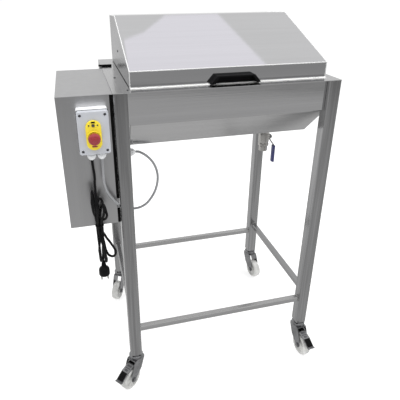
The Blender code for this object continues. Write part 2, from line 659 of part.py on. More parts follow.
def make_cords(white, black, grey):
    bottom = PANEL[3]
    make_gland("gland_mains", place(MAINS_GLAND_A, GLAND_B, bottom + CLEAR), -Z_AXIS, white)
    make_gland("gland_motor", place(MOTOR_GLAND_A, GLAND_B, bottom + CLEAR), -Z_AXIS, white)
    b, h = DRIVE_GLAND
    make_gland("gland_drive", place(-BOX_GAP + CLEAR, b, h), X_AXIS, white, DRIVE_GLAND_LENGTH)
    make_cable("mains_cord", MAINS_ROUTE, CORD_RADIUS, black)
    make_cable("motor_cable", MOTOR_ROUTE, CABLE_RADIUS, grey)

    outline = [(-0.078, 0.230), (-0.054, 0.230), (-0.050, 0.250), (-0.042, 0.280), (-0.037, 0.330),
               (-0.046, 0.362),
               (-0.020, 0.418), (-0.020, 0.446), (-0.046, 0.476), (-0.078, 0.476), (-0.088, 0.455),
               (-0.084, 0.350), (-0.090, 0.262)]
    outline = [(LEFT + a, RIM_HEIGHT - h) for a, h in outline]
    prism("mains_hank", outline, "Y", FRONT + HANK_FRONT, FRONT + HANK_REAR, black)

    profile = [(0, 0), (0.0052, 0), (0.0070, 0.014), (0.0090, 0.020), (0.0140, 0.025), (0.0155, 0.031),
               (0.0155, 0.0450), (0.0145, 0.0470), (0, 0.0470)]
    plug = turned("mains_plug", profile, place(*PLUG_PLACE), -Z_AXIS, black, 20)
    a, b, h = PLUG_PLACE
    offset, radius = PLUG_PIN
    for name, pin_a in (("left", a - offset), ("right", a + offset)):
        start, end = place(pin_a, b, h + 0.040), place(pin_a, b, h + 0.065)
        join(plug, rod("plug_pin_" + name, radius, start, end, black, 10))


# Outlet valve

def make_valve(brass, steel, blue):
    a, b = OUTLET
    top = PAN_BOTTOM + CLEAR
    bore, seat = 0.0090, 0.0136
    profile = [(0.0170, top), (0.0170, top + 0.004), (0.0135, top + 0.004), (0.0135, 0.222), (0.0165, 0.223),
               (0.0185, 0.232), (0.0185, 0.274), (0.0165, 0.283), (0.0150, 0.284), (0.0150, 0.302),
               (bore, 0.302), (bore, 0.264), (seat, 0.2635), (seat, 0.2405), (bore, 0.240), (bore, top)]
    body = turned("valve_body", profile, place(a, b, 0), -Z_AXIS, brass)
    cut(body, rod("STEM_Hole", 0.0045, place(a, b, STEM_H), place(a + 0.03, b, STEM_H), brass, 12))

    turns = [math.radians(degrees) for degrees in (35, 55, 75, 90, 105, 125, 145)]
    profile = [(BALL_RADIUS * math.sin(t), -BALL_RADIUS * math.cos(t)) for t in turns]
    profile = [(0, profile[0][1])] + profile + [(0, profile[-1][1])]
    ball = turned("valve_ball", profile, place(a, b, STEM_H), Z_AXIS, brass)
    join(ball, rod("valve_stem", 0.0042, place(a + 0.008, b, STEM_H), place(a + 0.0305, b, STEM_H), brass, 12))
    cut(ball, rod("ball_bore", 0.0082, place(a, b, STEM_H + 0.02), place(a, b, STEM_H - 0.02), brass))

    near, far = a + 0.0215, a + 0.0240
    step_a = 0.0405 + a
    half = 0.006
    outline = [(near, STEM_H - 0.010), (near, STEM_H + 0.010), (step_a - 0.001, STEM_H + 0.034),
               (step_a - 0.001, STEM_H + 0.094), (step_a + 0.0015, STEM_H + 0.094),
               (step_a + 0.0015, STEM_H + 0.033),
               (far, STEM_H + 0.009), (far, STEM_H - 0.010)]
    lever = prism("valve_lever", [(LEFT + u, RIM_HEIGHT - h) for u, h in outline], "Y",
                  FRONT + b - half, FRONT + b + half, steel)
    cut(lever, rod("lever_hole", 0.0045, place(a + 0.01, b, STEM_H), place(a + 0.035, b, STEM_H), steel, 12))

    grip_top, grip_end = GRIP
    grip = rounded_outline(LEFT + step_a - 0.0045, LEFT + step_a + 0.0050,
                           FRONT + b - 0.0095, FRONT + b + 0.0095, 0.0044, 3)
    sleeve = prism("lever_grip", grip, "Z", RIM_HEIGHT - grip_end, RIM_HEIGHT - grip_top, blue)
    cut(sleeve, slab("grip_slot", (step_a - 0.001 - CLEAR, b - half - CLEAR, grip_top - 0.01),
                     (step_a + 0.0015 + CLEAR, b + half + CLEAR, grip_end - 0.0035), blue))


# Casters

def make_casters(leg_places, zinc, nylon):
    foot = RIM_HEIGHT - CASTER_HEIGHT
    heads = [(0, 0.034), (0.0140, 0.034), (0.0140, -CLEAR), (0.0185, -CLEAR), (0.0185, -0.006),
             (0.0235, -0.009), (0.0235, -0.0185), (0, -0.0185)]
    fork_mesh = fork_shape(zinc)
    wheel_mesh = wheel_shape(nylon)
    pedal_mesh = pedal_shape(zinc)
    for name, (a, b) in leg_places.items():
        axis = place(a, b, foot)
        turned("caster_head_" + name, heads, axis, Z_AXIS, zinc, 14)
        turn = math.radians(TRAIL_ANGLES[name])
        trail = Vector((math.cos(turn), math.sin(turn), 0)) * CASTER_TRAIL
        floor = Vector((axis.x, axis.y, 0))
        pieces = [("caster_fork_", fork_mesh, floor),
                  ("caster_wheel_", wheel_mesh, floor + trail + Z_AXIS * WHEEL_RADIUS)]
        if name.startswith("front"):
            pieces.append(("brake_pedal_", pedal_mesh, floor))
        for start, mesh, location in pieces:
            obj = bpy.data.objects.new(start + name, mesh)
            obj.location = location
            obj.rotation_euler = (0, 0, turn)
            bpy.context.scene.collection.objects.link(obj)


def shared_mesh(obj):
    mesh = obj.data
    bpy.data.objects.remove(obj, do_unlink=True)
    return mesh


def fork_shape(zinc):
    """Fork with its axle, about the swivel axis, trailing towards +X, with the floor at zero."""
    top = CASTER_HEIGHT - 0.0185 - CLEAR
    half = FORK_GAP / 2 + FORK_PLATE
    axle = (CASTER_TRAIL, WHEEL_RADIUS)
    outline = [(-0.021, top), (-0.021, top - 0.012), (-0.004, 0.062), (0.024, 0.036)]
    outline += arc(axle, 0.0115, 190, 350, 4)
    outline += [(0.046, 0.060), (0.030, top - 0.010), (0.024, top)]
    fork = prism("fork", outline, "Y", -half, half, zinc)
    cut(fork, block("fork_inside", (-0.05, -FORK_GAP / 2, 0), (0.08, FORK_GAP / 2, top - 0.003), zinc))
    reach = half + 0.004
    start, end = Vector((axle[0], -reach, axle[1])), Vector((axle[0], reach, axle[1]))
    join(fork, rod("fork_axle", AXLE_RADIUS, start, end, zinc, 12))
    return shared_mesh(bake(fork))


def wheel_shape(nylon):
    half = WHEEL_WIDTH / 2
    bore, rim = AXLE_RADIUS + CLEAR, WHEEL_RADIUS
    profile = [(bore, -half - 0.001), (0.010, -half - 0.001), (0.012, -half + 0.004), (0.028, -half + 0.004),
               (0.031, -half), (rim - 0.003, -half), (rim, -half + 0.004), (rim, half - 0.004),
               (rim - 0.003, half), (0.031, half), (0.028, half - 0.004), (0.012, half - 0.004),
               (0.010, half + 0.001), (bore, half + 0.001)]
    wheel = turned("wheel", profile, Vector(), Z_AXIS, nylon, 20)
    wheel.data.transform(Matrix.Rotation(math.pi / 2, 4, "X"))
    return shared_mesh(wheel)


def pedal_shape(zinc):
    """Brake pedal above the wheel, hinged between the fork's arms."""
    out, up = PEDAL_PIVOT
    half = FORK_GAP / 2 - 0.0006
    outline = [(out, up + 0.0022), (0.030, 0.0925), (0.060, 0.0870), (0.088, 0.0700), (0.096, 0.0712),
               (0.095, 0.0680), (0.0865, 0.0668), (0.059, 0.0835), (0.030, 0.0890), (out, up - 0.0022)]
    pedal = prism("pedal", outline, "Y", -half + 0.002, half - 0.002, zinc)
    join(pedal, rod("pedal_barrel", 0.0042, Vector((out, -half, up)), Vector((out, half, up)), zinc, 12))
    return shared_mesh(bake(pedal))


def build():
    clear_scene()
    steel = finish("brushed_stainless", (0.56, 0.57, 0.58), 0.22, 1.0)
    polished = finish("polished_stainless", (0.68, 0.69, 0.70), 0.12, 1.0)
    cast = finish("dark_steel", (0.30, 0.31, 0.32), 0.45, 1.0)
    zinc = finish("zinc_plate", (0.60, 0.61, 0.62), 0.35, 1.0)
    brass = finish("nickelled_brass", (0.55, 0.54, 0.52), 0.30, 1.0)
    nylon = finish("white_nylon", (0.86, 0.86, 0.83), 0.45, 0.0)
    grey = finish("enclosure_grey", (0.62, 0.64, 0.67), 0.50, 0.0)
    white = finish("gland_white", (0.82, 0.83, 0.83), 0.50, 0.0)
    yellow = finish("plate_yellow", (0.90, 0.72, 0.05), 0.45, 0.0)
    red = finish("button_red", (0.72, 0.05, 0.07), 0.40, 0.0)
    blue = finish("grip_blue", (0.07, 0.07, 0.22), 0.50, 0.0)
    black = finish("black_plastic", (0.02, 0.02, 0.02), 0.50, 0.0)
    rubber = finish("belt_rubber", (0.03, 0.03, 0.03), 0.70, 0.0)
    cable = finish("cable_grey", (0.50, 0.51, 0.52), 0.50, 0.0)
    paint = finish("motor_grey", (0.25, 0.28, 0.32), 0.50, 0.2)

    leg_places = make_frame(steel)
    make_rim(polished)
    make_pan(polished)
    make_screen(steel)
    make_lid(polished)
    make_lid_pull(black)
    make_lid_switch(black)
    make_rotor(steel, cast)
    make_bearings(cast)
    make_drive(steel, cast, rubber, paint)
    make_drive_box(polished)
    make_controls(grey, yellow, red)
    make_cords(white, black, cable)
    make_valve(brass, steel, blue)
    make_casters(leg_places, zinc, nylon)


build()
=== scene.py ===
"""Looks of the trough mill: finer pieces, cords, materials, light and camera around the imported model."""
import json
import math

import bmesh
import bpy
from mathutils import Matrix, Vector


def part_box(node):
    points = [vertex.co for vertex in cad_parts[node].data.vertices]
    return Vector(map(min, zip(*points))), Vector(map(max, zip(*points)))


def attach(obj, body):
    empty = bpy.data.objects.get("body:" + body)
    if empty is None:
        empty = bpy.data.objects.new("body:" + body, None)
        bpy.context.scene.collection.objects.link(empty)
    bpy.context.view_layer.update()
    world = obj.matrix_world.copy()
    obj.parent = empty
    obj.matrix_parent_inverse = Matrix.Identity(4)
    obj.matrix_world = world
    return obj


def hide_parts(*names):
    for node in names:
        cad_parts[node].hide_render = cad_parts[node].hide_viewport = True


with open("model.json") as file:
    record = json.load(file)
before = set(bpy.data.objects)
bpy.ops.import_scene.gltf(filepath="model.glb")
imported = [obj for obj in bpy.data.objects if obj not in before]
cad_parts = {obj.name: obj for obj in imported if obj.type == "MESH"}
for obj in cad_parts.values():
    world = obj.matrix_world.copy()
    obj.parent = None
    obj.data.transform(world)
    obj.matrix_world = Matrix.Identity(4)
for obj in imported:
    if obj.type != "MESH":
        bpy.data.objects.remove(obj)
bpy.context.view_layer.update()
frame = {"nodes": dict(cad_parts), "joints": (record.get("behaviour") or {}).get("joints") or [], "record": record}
NODES = frame["nodes"]
NODE_BODY = {node: body for body, nodes in frame["record"]["behaviour"]["bodies"].items() for node in nodes}
NODE_SLOT = {part["node"]: part["material_slot"] for part in frame["record"]["subparts"]}
X_AXIS, Y_AXIS, Z_AXIS = Vector((1, 0, 0)), Vector((0, 1, 0)), Vector((0, 0, 1))

rim_low, rim_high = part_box("rim_frame")
LEFT, FRONT, RIM = rim_low.x, rim_low.y, rim_high.z
WIDTH, DEPTH = rim_high.x - rim_low.x, rim_high.y - rim_low.y


def place(a, b, h):
    """World place of a point given from the frame's left face, its front face and the top of the rim."""
    return Vector((LEFT + a, FRONT + b, RIM - h))


# Materials

class Nodes:
    """A short way to write a node tree."""

    def __init__(self, tree):
        self.tree = tree

    def add(self, kind, inputs=(), **settings):
        node = self.tree.nodes.new(kind)
        for key, value in settings.items():
            setattr(node, key, value)
        for key, value in dict(inputs).items():
            if isinstance(value, bpy.types.NodeSocket):
                self.tree.links.new(value, node.inputs[key])
            else:
                node.inputs[key].default_value = value
        return node

    def ramp(self, factor, stops):
        node = self.add("ShaderNodeValToRGB", {"Fac": factor})
        elements = node.color_ramp.elements
        while len(elements) < len(stops):
            elements.new(0.5)
        for element, (position, value) in zip(elements, stops):
            element.position = position
            element.color = (*value, 1)
        return node.outputs["Color"]

    def grey(self, factor, stops):
        return self.ramp(factor, [(position, (value, value, value)) for position, value in stops])

    def math(self, operation, first, second=0.0):
        return self.add("ShaderNodeMath", {0: first, 1: second}, operation=operation).outputs[0]

    def noise(self, vector, scale, detail=3.0, roughness=0.5):
        inputs = {"Vector": vector, "Scale": scale, "Detail": detail, "Roughness": roughness}
        return self.add("ShaderNodeTexNoise", inputs).outputs["Fac"]

    def stretched(self, vector, scale):
        return self.add("ShaderNodeMapping", {"Vector": vector, "Scale": scale}).outputs["Vector"]


def material(name):
    made = bpy.data.materials.new(name)
    made.use_nodes = True
    nodes = Nodes(made.node_tree)
    shader = made.node_tree.nodes["Principled BSDF"]
    where = nodes.add("ShaderNodeTexCoord").outputs["Object"]
    return made, nodes, shader, where


def link(nodes, value, socket):
    nodes.tree.links.new(value, socket)


def tinted(nodes, value, colour, spread):
    """The colour, lighter and darker by spread as value goes from 0 to 1."""
    stops = [(0.25, [c * (1 - spread) for c in colour]), (0.75, [min(1.0, c * (1 + spread)) for c in colour])]
    return nodes.ramp(value, stops)


def steel(name, colour, rough, grain, streak=0.10, bump=0.05, smudge=0.05):
    """Stainless sheet or tube. grain is the noise scale along X, Y and Z, least along the brushing."""
    made, nodes, shader, where = material(name)
    fine = nodes.noise(nodes.stretched(where, grain), 1.0, 4.0, 0.6)
    broad = nodes.noise(nodes.stretched(where, [g * 0.12 for g in grain]), 1.0, 2.0)
    clouds = nodes.noise(where, 7.0, 4.0, 0.55)
    mixed = nodes.math("ADD", nodes.math("MULTIPLY", fine, 0.45), nodes.math("MULTIPLY", broad, 0.55))
    link(nodes, tinted(nodes, mixed, colour, streak), shader.inputs["Base Color"])
    rub = nodes.math("ADD", nodes.math("MULTIPLY", clouds, 2 * smudge), rough - smudge)
    grained = nodes.math("MULTIPLY", nodes.math("SUBTRACT", fine, 0.5), min(0.10, 0.5 * rough))
    rub = nodes.math("ADD", rub, grained)
    link(nodes, rub, shader.inputs["Roughness"])
    bumped = nodes.add("ShaderNodeBump", {"Height": fine, "Strength": bump, "Distance": 0.002})
    link(nodes, bumped.outputs["Normal"], shader.inputs["Normal"])
    shader.inputs["Metallic"].default_value = 1.0
    return made


def moulded(name, colour, rough, grain=900.0, spread=0.06, bump=0.12, coat=0.0, shine=0.5):
    """Moulded plastic or rubber: a fine skin, slow colour change and a little dirt."""
    made, nodes, shader, where = material(name)
    skin = nodes.noise(where, grain, 3.0)
    slow = nodes.noise(where, 26.0, 4.0, 0.6)
    link(nodes, tinted(nodes, slow, colour, spread), shader.inputs["Base Color"])
    rub = nodes.math("ADD", nodes.math("MULTIPLY", slow, 0.16), rough - 0.08)
    link(nodes, rub, shader.inputs["Roughness"])
    bumped = nodes.add("ShaderNodeBump", {"Height": skin, "Strength": bump, "Distance": 0.0004})
    link(nodes, bumped.outputs["Normal"], shader.inputs["Normal"])
    shader.inputs["Coat Weight"].default_value = coat
    shader.inputs["Specular IOR Level"].default_value = shine
    return made


def plated(name, colour, rough, speck=160.0, spread=0.14, bump=0.10):
    """Zinc or nickel plating, cast or turned: small specks, dull patches."""
    made, nodes, shader, where = material(name)
    specks = nodes.noise(where, speck, 5.0, 0.65)
    patches = nodes.noise(where, 38.0, 3.0)
    both = nodes.math("ADD", nodes.math("MULTIPLY", specks, 0.5), nodes.math("MULTIPLY", patches, 0.5))
    link(nodes, tinted(nodes, both, colour, spread), shader.inputs["Base Color"])
    rub = nodes.math("ADD", nodes.math("MULTIPLY", patches, 0.22), rough - 0.11)
    link(nodes, rub, shader.inputs["Roughness"])
    bumped = nodes.add("ShaderNodeBump", {"Height": specks, "Strength": bump, "Distance": 0.0006})
    link(nodes, bumped.outputs["Normal"], shader.inputs["Normal"])
    shader.inputs["Metallic"].default_value = 1.0
    return made


LOOKS = {
    "leg": steel("steel_leg", (0.37, 0.37, 0.373), 0.20, (150, 150, 3.5), 0.50, 0.12),
    "rail_x": steel("steel_rail_x", (0.46, 0.46, 0.46), 0.22, (7, 420, 420), 0.14, 0.06),
    # The side rails, brushed along Y: the tone darker than the front and rear rails is painted shade.
    "rail_y": steel("steel_rail_y_painted_shade", (0.36, 0.36, 0.363), 0.22, (420, 7, 420), 0.14, 0.06),
    "rim": steel("steel_rim", (0.63, 0.63, 0.635), 0.08, (6, 500, 500), 0.06, 0.02, 0.03),
    # The rim's upward faces, brushed across: the brushing is real, the tone darker than the rim's sides is painted
    # shade.
    "rim_top": steel("steel_rim_top_painted_shade", (0.52, 0.52, 0.523), 0.16, (420, 9, 420), 0.16, 0.05, 0.05),
    "lid": steel("steel_lid", (0.66, 0.66, 0.67), 0.028, (6, 500, 500), 0.04, 0.007, 0.012),
    "pan": steel("steel_pan", (0.59, 0.59, 0.59), 0.21, (6, 500, 500), 0.05, 0.02, 0.03),
    "box": steel("steel_box", (0.525, 0.525, 0.53), 0.31, (500, 500, 6), 0.06, 0.02, 0.03),
    # The lid's left-facing faces, brushed along Y: the brushing is real, the tone far darker than the lid's is
    # painted shade.
    "cheek": steel("steel_cheek_painted_shade", (0.30, 0.30, 0.305), 0.26, (500, 6, 500), 0.12, 0.04, 0.05),
    # Rods along the lid's edges: the pale, half-metallic white is a painted highlight.
    "painted_seam_line": steel("seam_steel_painted_highlight", (0.94, 0.94, 0.94), 0.24, (200, 200, 200), 0.06, 0.03),
    "weld": plated("weld_bead", (0.55, 0.54, 0.53), 0.34, 420, 0.20, 0.35),
    "bar": steel("steel_bar", (0.60, 0.60, 0.61), 0.22, (60, 60, 900), 0.08, 0.08),
    "dark": plated("steel_dark", (0.30, 0.31, 0.32), 0.42, 260, 0.20, 0.20),
    "zinc": plated("zinc_plating", (0.27, 0.272, 0.278), 0.20, 150, 0.45, 0.30),
    "nickel": plated("nickel_plating", (0.50, 0.49, 0.47), 0.26, 300, 0.14, 0.10),
    "screw": plated("screw_dark", (0.16, 0.16, 0.17), 0.38, 400, 0.20, 0.15),
    "nylon": moulded("nylon_wheel", (0.62, 0.62, 0.605), 0.40, 300, 0.30, 0.20),
    "gland": moulded("nylon_gland", (0.74, 0.75, 0.76), 0.42, 900, 0.04, 0.08),
    # The control base's shell: its pale tone is partly its own light grey and partly a painted highlight on its
    # top face.
    "grey": moulded("enclosure_shell_painted_highlight", (0.80, 0.81, 0.83), 0.46, 1400, 0.04, 0.10),
    "cover": moulded("enclosure_lid", (0.46, 0.475, 0.51), 0.44, 1400, 0.04, 0.10),
    "yellow": moulded("plate_enamel", (0.86, 0.68, 0.03), 0.38, 1100, 0.06, 0.06),
    "red": moulded("button_cap", (0.28, 0.026, 0.034), 0.36, 1100, 0.08, 0.06, 0.15),
    "blue": moulded("vinyl_grip", (0.035, 0.04, 0.16), 0.40, 800, 0.15, 0.12, 0.1),
    "black": moulded("black_moulding", (0.0035, 0.0035, 0.004), 0.60, 1200, 0.25, 0.12, shine=0.16),
    "cord": moulded("cord_sheath", (0.003, 0.003, 0.0035), 0.45, 1500, 0.25, 0.10, shine=0.2),
    "cable": moulded("cable_sheath", (0.28, 0.285, 0.295), 0.42, 1500, 0.08, 0.10),
    # Black for the slot beside the leg and the seam round the control cover: painted shade of those gaps.
    "gap_shade": moulded("painted_gap_shade", (0.003, 0.003, 0.003), 0.75, 900, 0.3, 0.15, shine=0.06),
    "seal": moulded("silicone_seal", (0.86, 0.86, 0.85), 0.45, 700, 0.04, 0.08),
    "rubber": moulded("belt_surface", (0.020, 0.020, 0.021), 0.70, 600, 0.30, 0.30),
    "paint": moulded("motor_enamel", (0.16, 0.19, 0.23), 0.42, 500, 0.10, 0.25),
}


def screen_material():
    """Perforated sheet: round holes in straight rows, drawn as dark countersunk dots; their dark is painted shade
    inside the holes.
    """
    made, nodes, shader, where = material("perforated_sheet")
    cells = nodes.add("ShaderNodeTexVoronoi", {"Vector": where, "Scale": 210.0, "Randomness": 0.0})
    # Dark in the holes: painted shade.
    hole = nodes.grey(cells.outputs["Distance"], [(0.30, 0.03), (0.36, 0.55)])
    link(nodes, hole, shader.inputs["Base Color"])
    bumped = nodes.add("ShaderNodeBump", {"Height": hole, "Strength": 0.5, "Distance": 0.001})
    link(nodes, bumped.outputs["Normal"], shader.inputs["Normal"])
    shader.inputs["Metallic"].default_value = 1.0
    shader.inputs["Roughness"].default_value = 0.34
    return made


LOOKS["screen"] = screen_material()
# Half metallic, so the pale rods stay bright under any light: a painted highlight along the lid's edges.
LOOKS["painted_seam_line"].node_tree.nodes["Principled BSDF"].inputs["Metallic"].default_value = 0.55


# Pieces

SMOOTH_ANGLE = math.radians(35)


def adopt(obj, body, slot, *nodes):
    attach(obj, body)
    if nodes:
        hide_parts(*nodes)
    return obj


def from_bmesh(name, bm, look):
    bmesh.ops.recalc_face_normals(bm, faces=bm.faces)
    mesh = bpy.data.meshes.new(name)
    bm.to_mesh(mesh)
    bm.free()
    mesh.materials.append(look)
    mesh.shade_smooth()
    mesh.set_sharp_from_angle(angle=SMOOTH_ANGLE)
    obj = bpy.data.objects.new(name, mesh)
    bpy.context.scene.collection.objects.link(obj)
    return obj


def bevel(obj, width, segments=3, angle=30):
    modifier = obj.modifiers.new("Edges", "BEVEL")
    modifier.width = width
    modifier.segments = segments
    modifier.limit_method = "ANGLE"
    modifier.angle_limit = math.radians(angle)
    modifier.harden_normals = True
    return obj


def clean_faces(node):
    """A bmesh of a CAD node with its flat faces merged."""
    bm = bmesh.new()
    bm.from_mesh(NODES[node].data)
    bmesh.ops.remove_doubles(bm, verts=bm.verts, dist=0.00002)
    bmesh.ops.dissolve_limit(bm, angle_limit=math.radians(0.6), verts=bm.verts, edges=bm.edges)
    return bm


def refined(node, look, width=0.0006, segments=2, facing=None, painted_shade_look=None):
    """A copy of a CAD node with rounded edges, which stands for it. Faces along facing get a darker copy of look:
    painted shade on them.
    """
    obj = from_bmesh(node + "_finished", clean_faces(node), look)
    if facing:
        obj.data.materials.append(painted_shade_look)
        for face in obj.data.polygons:
            face.material_index = int(face.normal.dot(facing) > 0.9)
    bevel(obj, width, segments)
    return adopt(obj, NODE_BODY[node], NODE_SLOT[node], node)


def prism(name, outline, axis, start, end, look, width=0.0, segments=2):
    """An outline drawn out from start to end along an axis, with its edges rounded to width."""
    order = {"X": (2, 0, 1), "Y": (0, 2, 1), "Z": (0, 1, 2)}[axis]
    bm = bmesh.new()
    rings = []
    for distance in (start, end):
        rings.append([bm.verts.new([(u, v, distance)[k] for k in order]) for u, v in outline])
    near, far = rings
    bm.faces.new(near)
    bm.faces.new(far)
    for k in range(len(outline)):
        following = (k + 1) % len(outline)
        bm.faces.new((near[k], near[following], far[following], far[k]))
    obj = from_bmesh(name, bm, look)
    return bevel(obj, width, segments) if width else obj


def ring(name, outer, inner, start, end, look):
    """Flat band between two outlines of as many points, from start to end along Y."""
    bm = bmesh.new()
    loops = [[bm.verts.new((u, y, v)) for u, v in outline] for outline, y in
             ((outer, start), (outer, end), (inner, end), (inner, start))]
    for k in range(4):
        one, other = loops[k], loops[(k + 1) % 4]
        for n in range(len(outer)):
            following = (n + 1) % len(outer)
            bm.faces.new((one[n], one[following], other[following], other[n]))
    return bevel(from_bmesh(name, bm, look), 0.0003, 2)


def arc(centre, radius, first, last, steps):
    turns = [math.radians(first + (last - first) * k / steps) for k in range(steps + 1)]
    return [(centre[0] + radius * math.cos(t), centre[1] + radius * math.sin(t)) for t in turns]


def rounded(left, right, bottom, top, radius, steps=8):
    points = arc((right - radius, top - radius), radius, 0, 90, steps)
    points += arc((left + radius, top - radius), radius, 90, 180, steps)
    points += arc((left + radius, bottom + radius), radius, 180, 270, steps)
    return points + arc((right - radius, bottom + radius), radius, 270, 360, steps)


def lathe(name, profile, centre, axis, look, steps=48, flats=0, flat_parts=()):
    """A turned piece. flat_parts are profile points whose ring has that many flats, as on a nut."""
    bm = bmesh.new()
    rings = []
    for index, (radius, distance) in enumerate(profile):
        turns = [math.tau * k / steps for k in range(steps if radius > 0 else 1)]
        circle = []
        for t in turns:
            reach = radius
            if flats and index in flat_parts:
                sector = math.tau / flats
                reach = radius / math.cos((t % sector) - sector / 2)
                reach = min(reach, radius * 1.12)
            circle.append(bm.verts.new((reach * math.cos(t), reach * math.sin(t), distance)))
        rings.append(circle)
    closed = all(radius > 0 for radius, _ in profile)
    for lower, upper in zip(rings, rings[1:] + (rings[:1] if closed else [])):
        for k in range(steps):
            corners = (lower[k % len(lower)], lower[(k + 1) % len(lower)],
                       upper[(k + 1) % len(upper)], upper[k % len(upper)])
            unique = list(dict.fromkeys(corners))
            if len(unique) > 2:
                bm.faces.new(unique)
    obj = from_bmesh(name, bm, look)
    obj.matrix_world = Matrix.Translation(centre) @ Z_AXIS.rotation_difference(axis).to_matrix().to_4x4()
    return obj


def joined(name, objects):
    """Several objects as one piece."""
    bpy.context.view_layer.update()
    graph = bpy.context.evaluated_depsgraph_get()
    bm = bmesh.new()
    looks = []
    for obj in objects:
        mesh = bpy.data.meshes.new_from_object(obj.evaluated_get(graph))
        mesh.transform(obj.matrix_world)
        own = mesh.materials[0]
        if own not in looks:
            looks.append(own)
        start = len(bm.faces)
        bm.from_mesh(mesh)
        bm.faces.ensure_lookup_table()
        for face in bm.faces[start:]:
            face.material_index = looks.index(own)
        bpy.data.meshes.remove(mesh)
    mesh = bpy.data.meshes.new(name)
    bm.to_mesh(mesh)
    bm.free()
    for own in looks:
        mesh.materials.append(own)
    for obj in objects:
        bpy.data.objects.remove(obj, do_unlink=True)
    obj = bpy.data.objects.new(name, mesh)
    bpy.context.scene.collection.objects.link(obj)
    return obj


def tube(name, points, radius, look, radii=None, resolution=6):
    curve = bpy.data.curves.new(name, "CURVE")
    curve.dimensions = "3D"
    curve.bevel_depth = radius
    curve.bevel_resolution = resolution
    curve.use_fill_caps = True
    spline = curve.splines.new("POLY")
    spline.points.add(len(points) - 1)
    for index, (target, point) in enumerate(zip(spline.points, points)):
        target.co = (*point, 1)
        if radii:
            target.radius = radii[index]
    spline.use_smooth = True
    curve.materials.append(look)
    obj = bpy.data.objects.new(name, curve)
    bpy.context.scene.collection.objects.link(obj)
    return obj


def ripple(k):
    """Radius of a weld bead at its point k, as a share of its mean radius."""
    return 1.0 + 0.16 * math.sin(k * 2.4) + 0.08 * math.sin(k * 0.9)


def bead(name, start, end):
    """A weld bead with its ripples and tapered ends, between two points."""
    length = (end - start).length
    count = max(4, round(length / 0.0016))
    points = [start.lerp(end, k / count) for k in range(count + 1)]
    radii = [0.55 if k in (0, count) else ripple(k) for k in range(count + 1)]
    adopt(tube(name, points, 0.0014, LOOKS["weld"], radii, 2), "machine", "brushed_stainless")


def smooth_path(points, step):
    """Points about one step apart on a Catmull-Rom curve through the given points."""
    ends = [points[0] * 2 - points[1]] + points + [points[-1] * 2 - points[-2]]
    fine = []
    for p0, p1, p2, p3 in zip(ends, ends[1:], ends[2:], ends[3:]):
        for k in range(12):
            t = k / 12
            fine.append(0.5 * (2 * p1 + (p2 - p0) * t + (2 * p0 - 5 * p1 + 4 * p2 - p3) * t ** 2
                               + (3 * p1 - p0 - 3 * p2 + p3) * t ** 3))
    fine.append(points[-1])
    total = sum((b - a).length for a, b in zip(fine, fine[1:]))
    count = max(2, round(total / step))
    path, travelled, wanted = [fine[0]], 0.0, total / count
    for a, b in zip(fine, fine[1:]):
        span = (b - a).length
        while len(path) < count and travelled + span >= wanted * len(path):
            path.append(a.lerp(b, (wanted * len(path) - travelled) / span))
        travelled += span
    return path + [fine[-1]]


# Camera and cords

def make_camera():
    data = bpy.data.cameras.new("camera")
    data.sensor_width = 36.0
    data.lens = 38.507
    data.shift_x = 0.0380
    data.shift_y = -0.0677
    camera = bpy.data.objects.new("camera", data)
    camera.location = (LEFT + WIDTH / 2 - 0.41564, FRONT + DEPTH / 2 - 1.32658, RIM + 0.26726)
    turn = Matrix.Rotation(math.radians(-14.492), 4, "Z") @ Matrix.Rotation(math.radians(65.391), 4, "X")
    camera.rotation_euler = turn.to_euler()
    bpy.context.scene.collection.objects.link(camera)
    bpy.context.scene.camera = camera


CORD_RADIUS = 0.0034
CABLE_RADIUS = 0.0035
MAINS_ROUTE = [
    (-0.0660, -0.0280, 0.1601), (-0.0660, -0.0280, 0.1700), (-0.0655, -0.0280, 0.1830),
    (-0.0645, -0.0282, 0.1960), (-0.0640, -0.0286, 0.2090), (-0.0645, -0.0290, 0.2200),
    (-0.0655, -0.0290, 0.2297),
]
MOTOR_ROUTE = [
    (-0.0405, -0.0280, 0.1601), (-0.0405, -0.0280, 0.1720), (-0.0408, -0.0280, 0.1880),
    (-0.0414, -0.0280, 0.2040), (-0.0414, -0.0280, 0.2200), (-0.0402, -0.0278, 0.2350),
    (-0.0375, -0.0272, 0.2490), (-0.0333, -0.0260, 0.2620), (-0.0278, -0.0240, 0.2740),
    (-0.0214, -0.0215, 0.2850), (-0.0150, -0.0172, 0.2950), (-0.0092, -0.0105, 0.3045),
    (-0.0056, -0.0020, 0.3130), (-0.0045, 0.0085, 0.3210), (-0.0044, 0.0200, 0.3285),
    (-0.0044, 0.0315, 0.3360), (-0.0034, 0.0425, 0.3430), (0.0006, 0.0520, 0.3500),
    (0.0080, 0.0600, 0.3570), (0.0175, 0.0660, 0.3640), (0.0290, 0.0700, 0.3695),
    (0.0420, 0.0715, 0.3730), (0.0560, 0.0720, 0.3735), (0.0700, 0.0720, 0.3705),
    (0.0850, 0.0715, 0.3615), (0.0990, 0.0715, 0.3460), (0.1120, 0.0710, 0.3235),
    (0.1200, 0.0710, 0.2980), (0.1222, 0.0705, 0.2720), (0.1180, 0.0705, 0.2480),
    (0.1090, 0.0700, 0.2270), (0.0960, 0.0700, 0.2095), (0.0820, 0.0700, 0.1972),
    (0.0710, 0.0700, 0.1905), (0.0640, 0.0700, 0.1885), (0.0594, 0.0700, 0.1885),
]
WAIST = (-0.0630, -0.0290, 0.3560)       # middle of the hank's tie
STRAND = 0.0071                          # from one strand's middle to the next at the tie
FRONT_B, BACK_B = -0.0510, -0.0102       # the runs in front and behind
LOOP = (FRONT_B - BACK_B) / -2
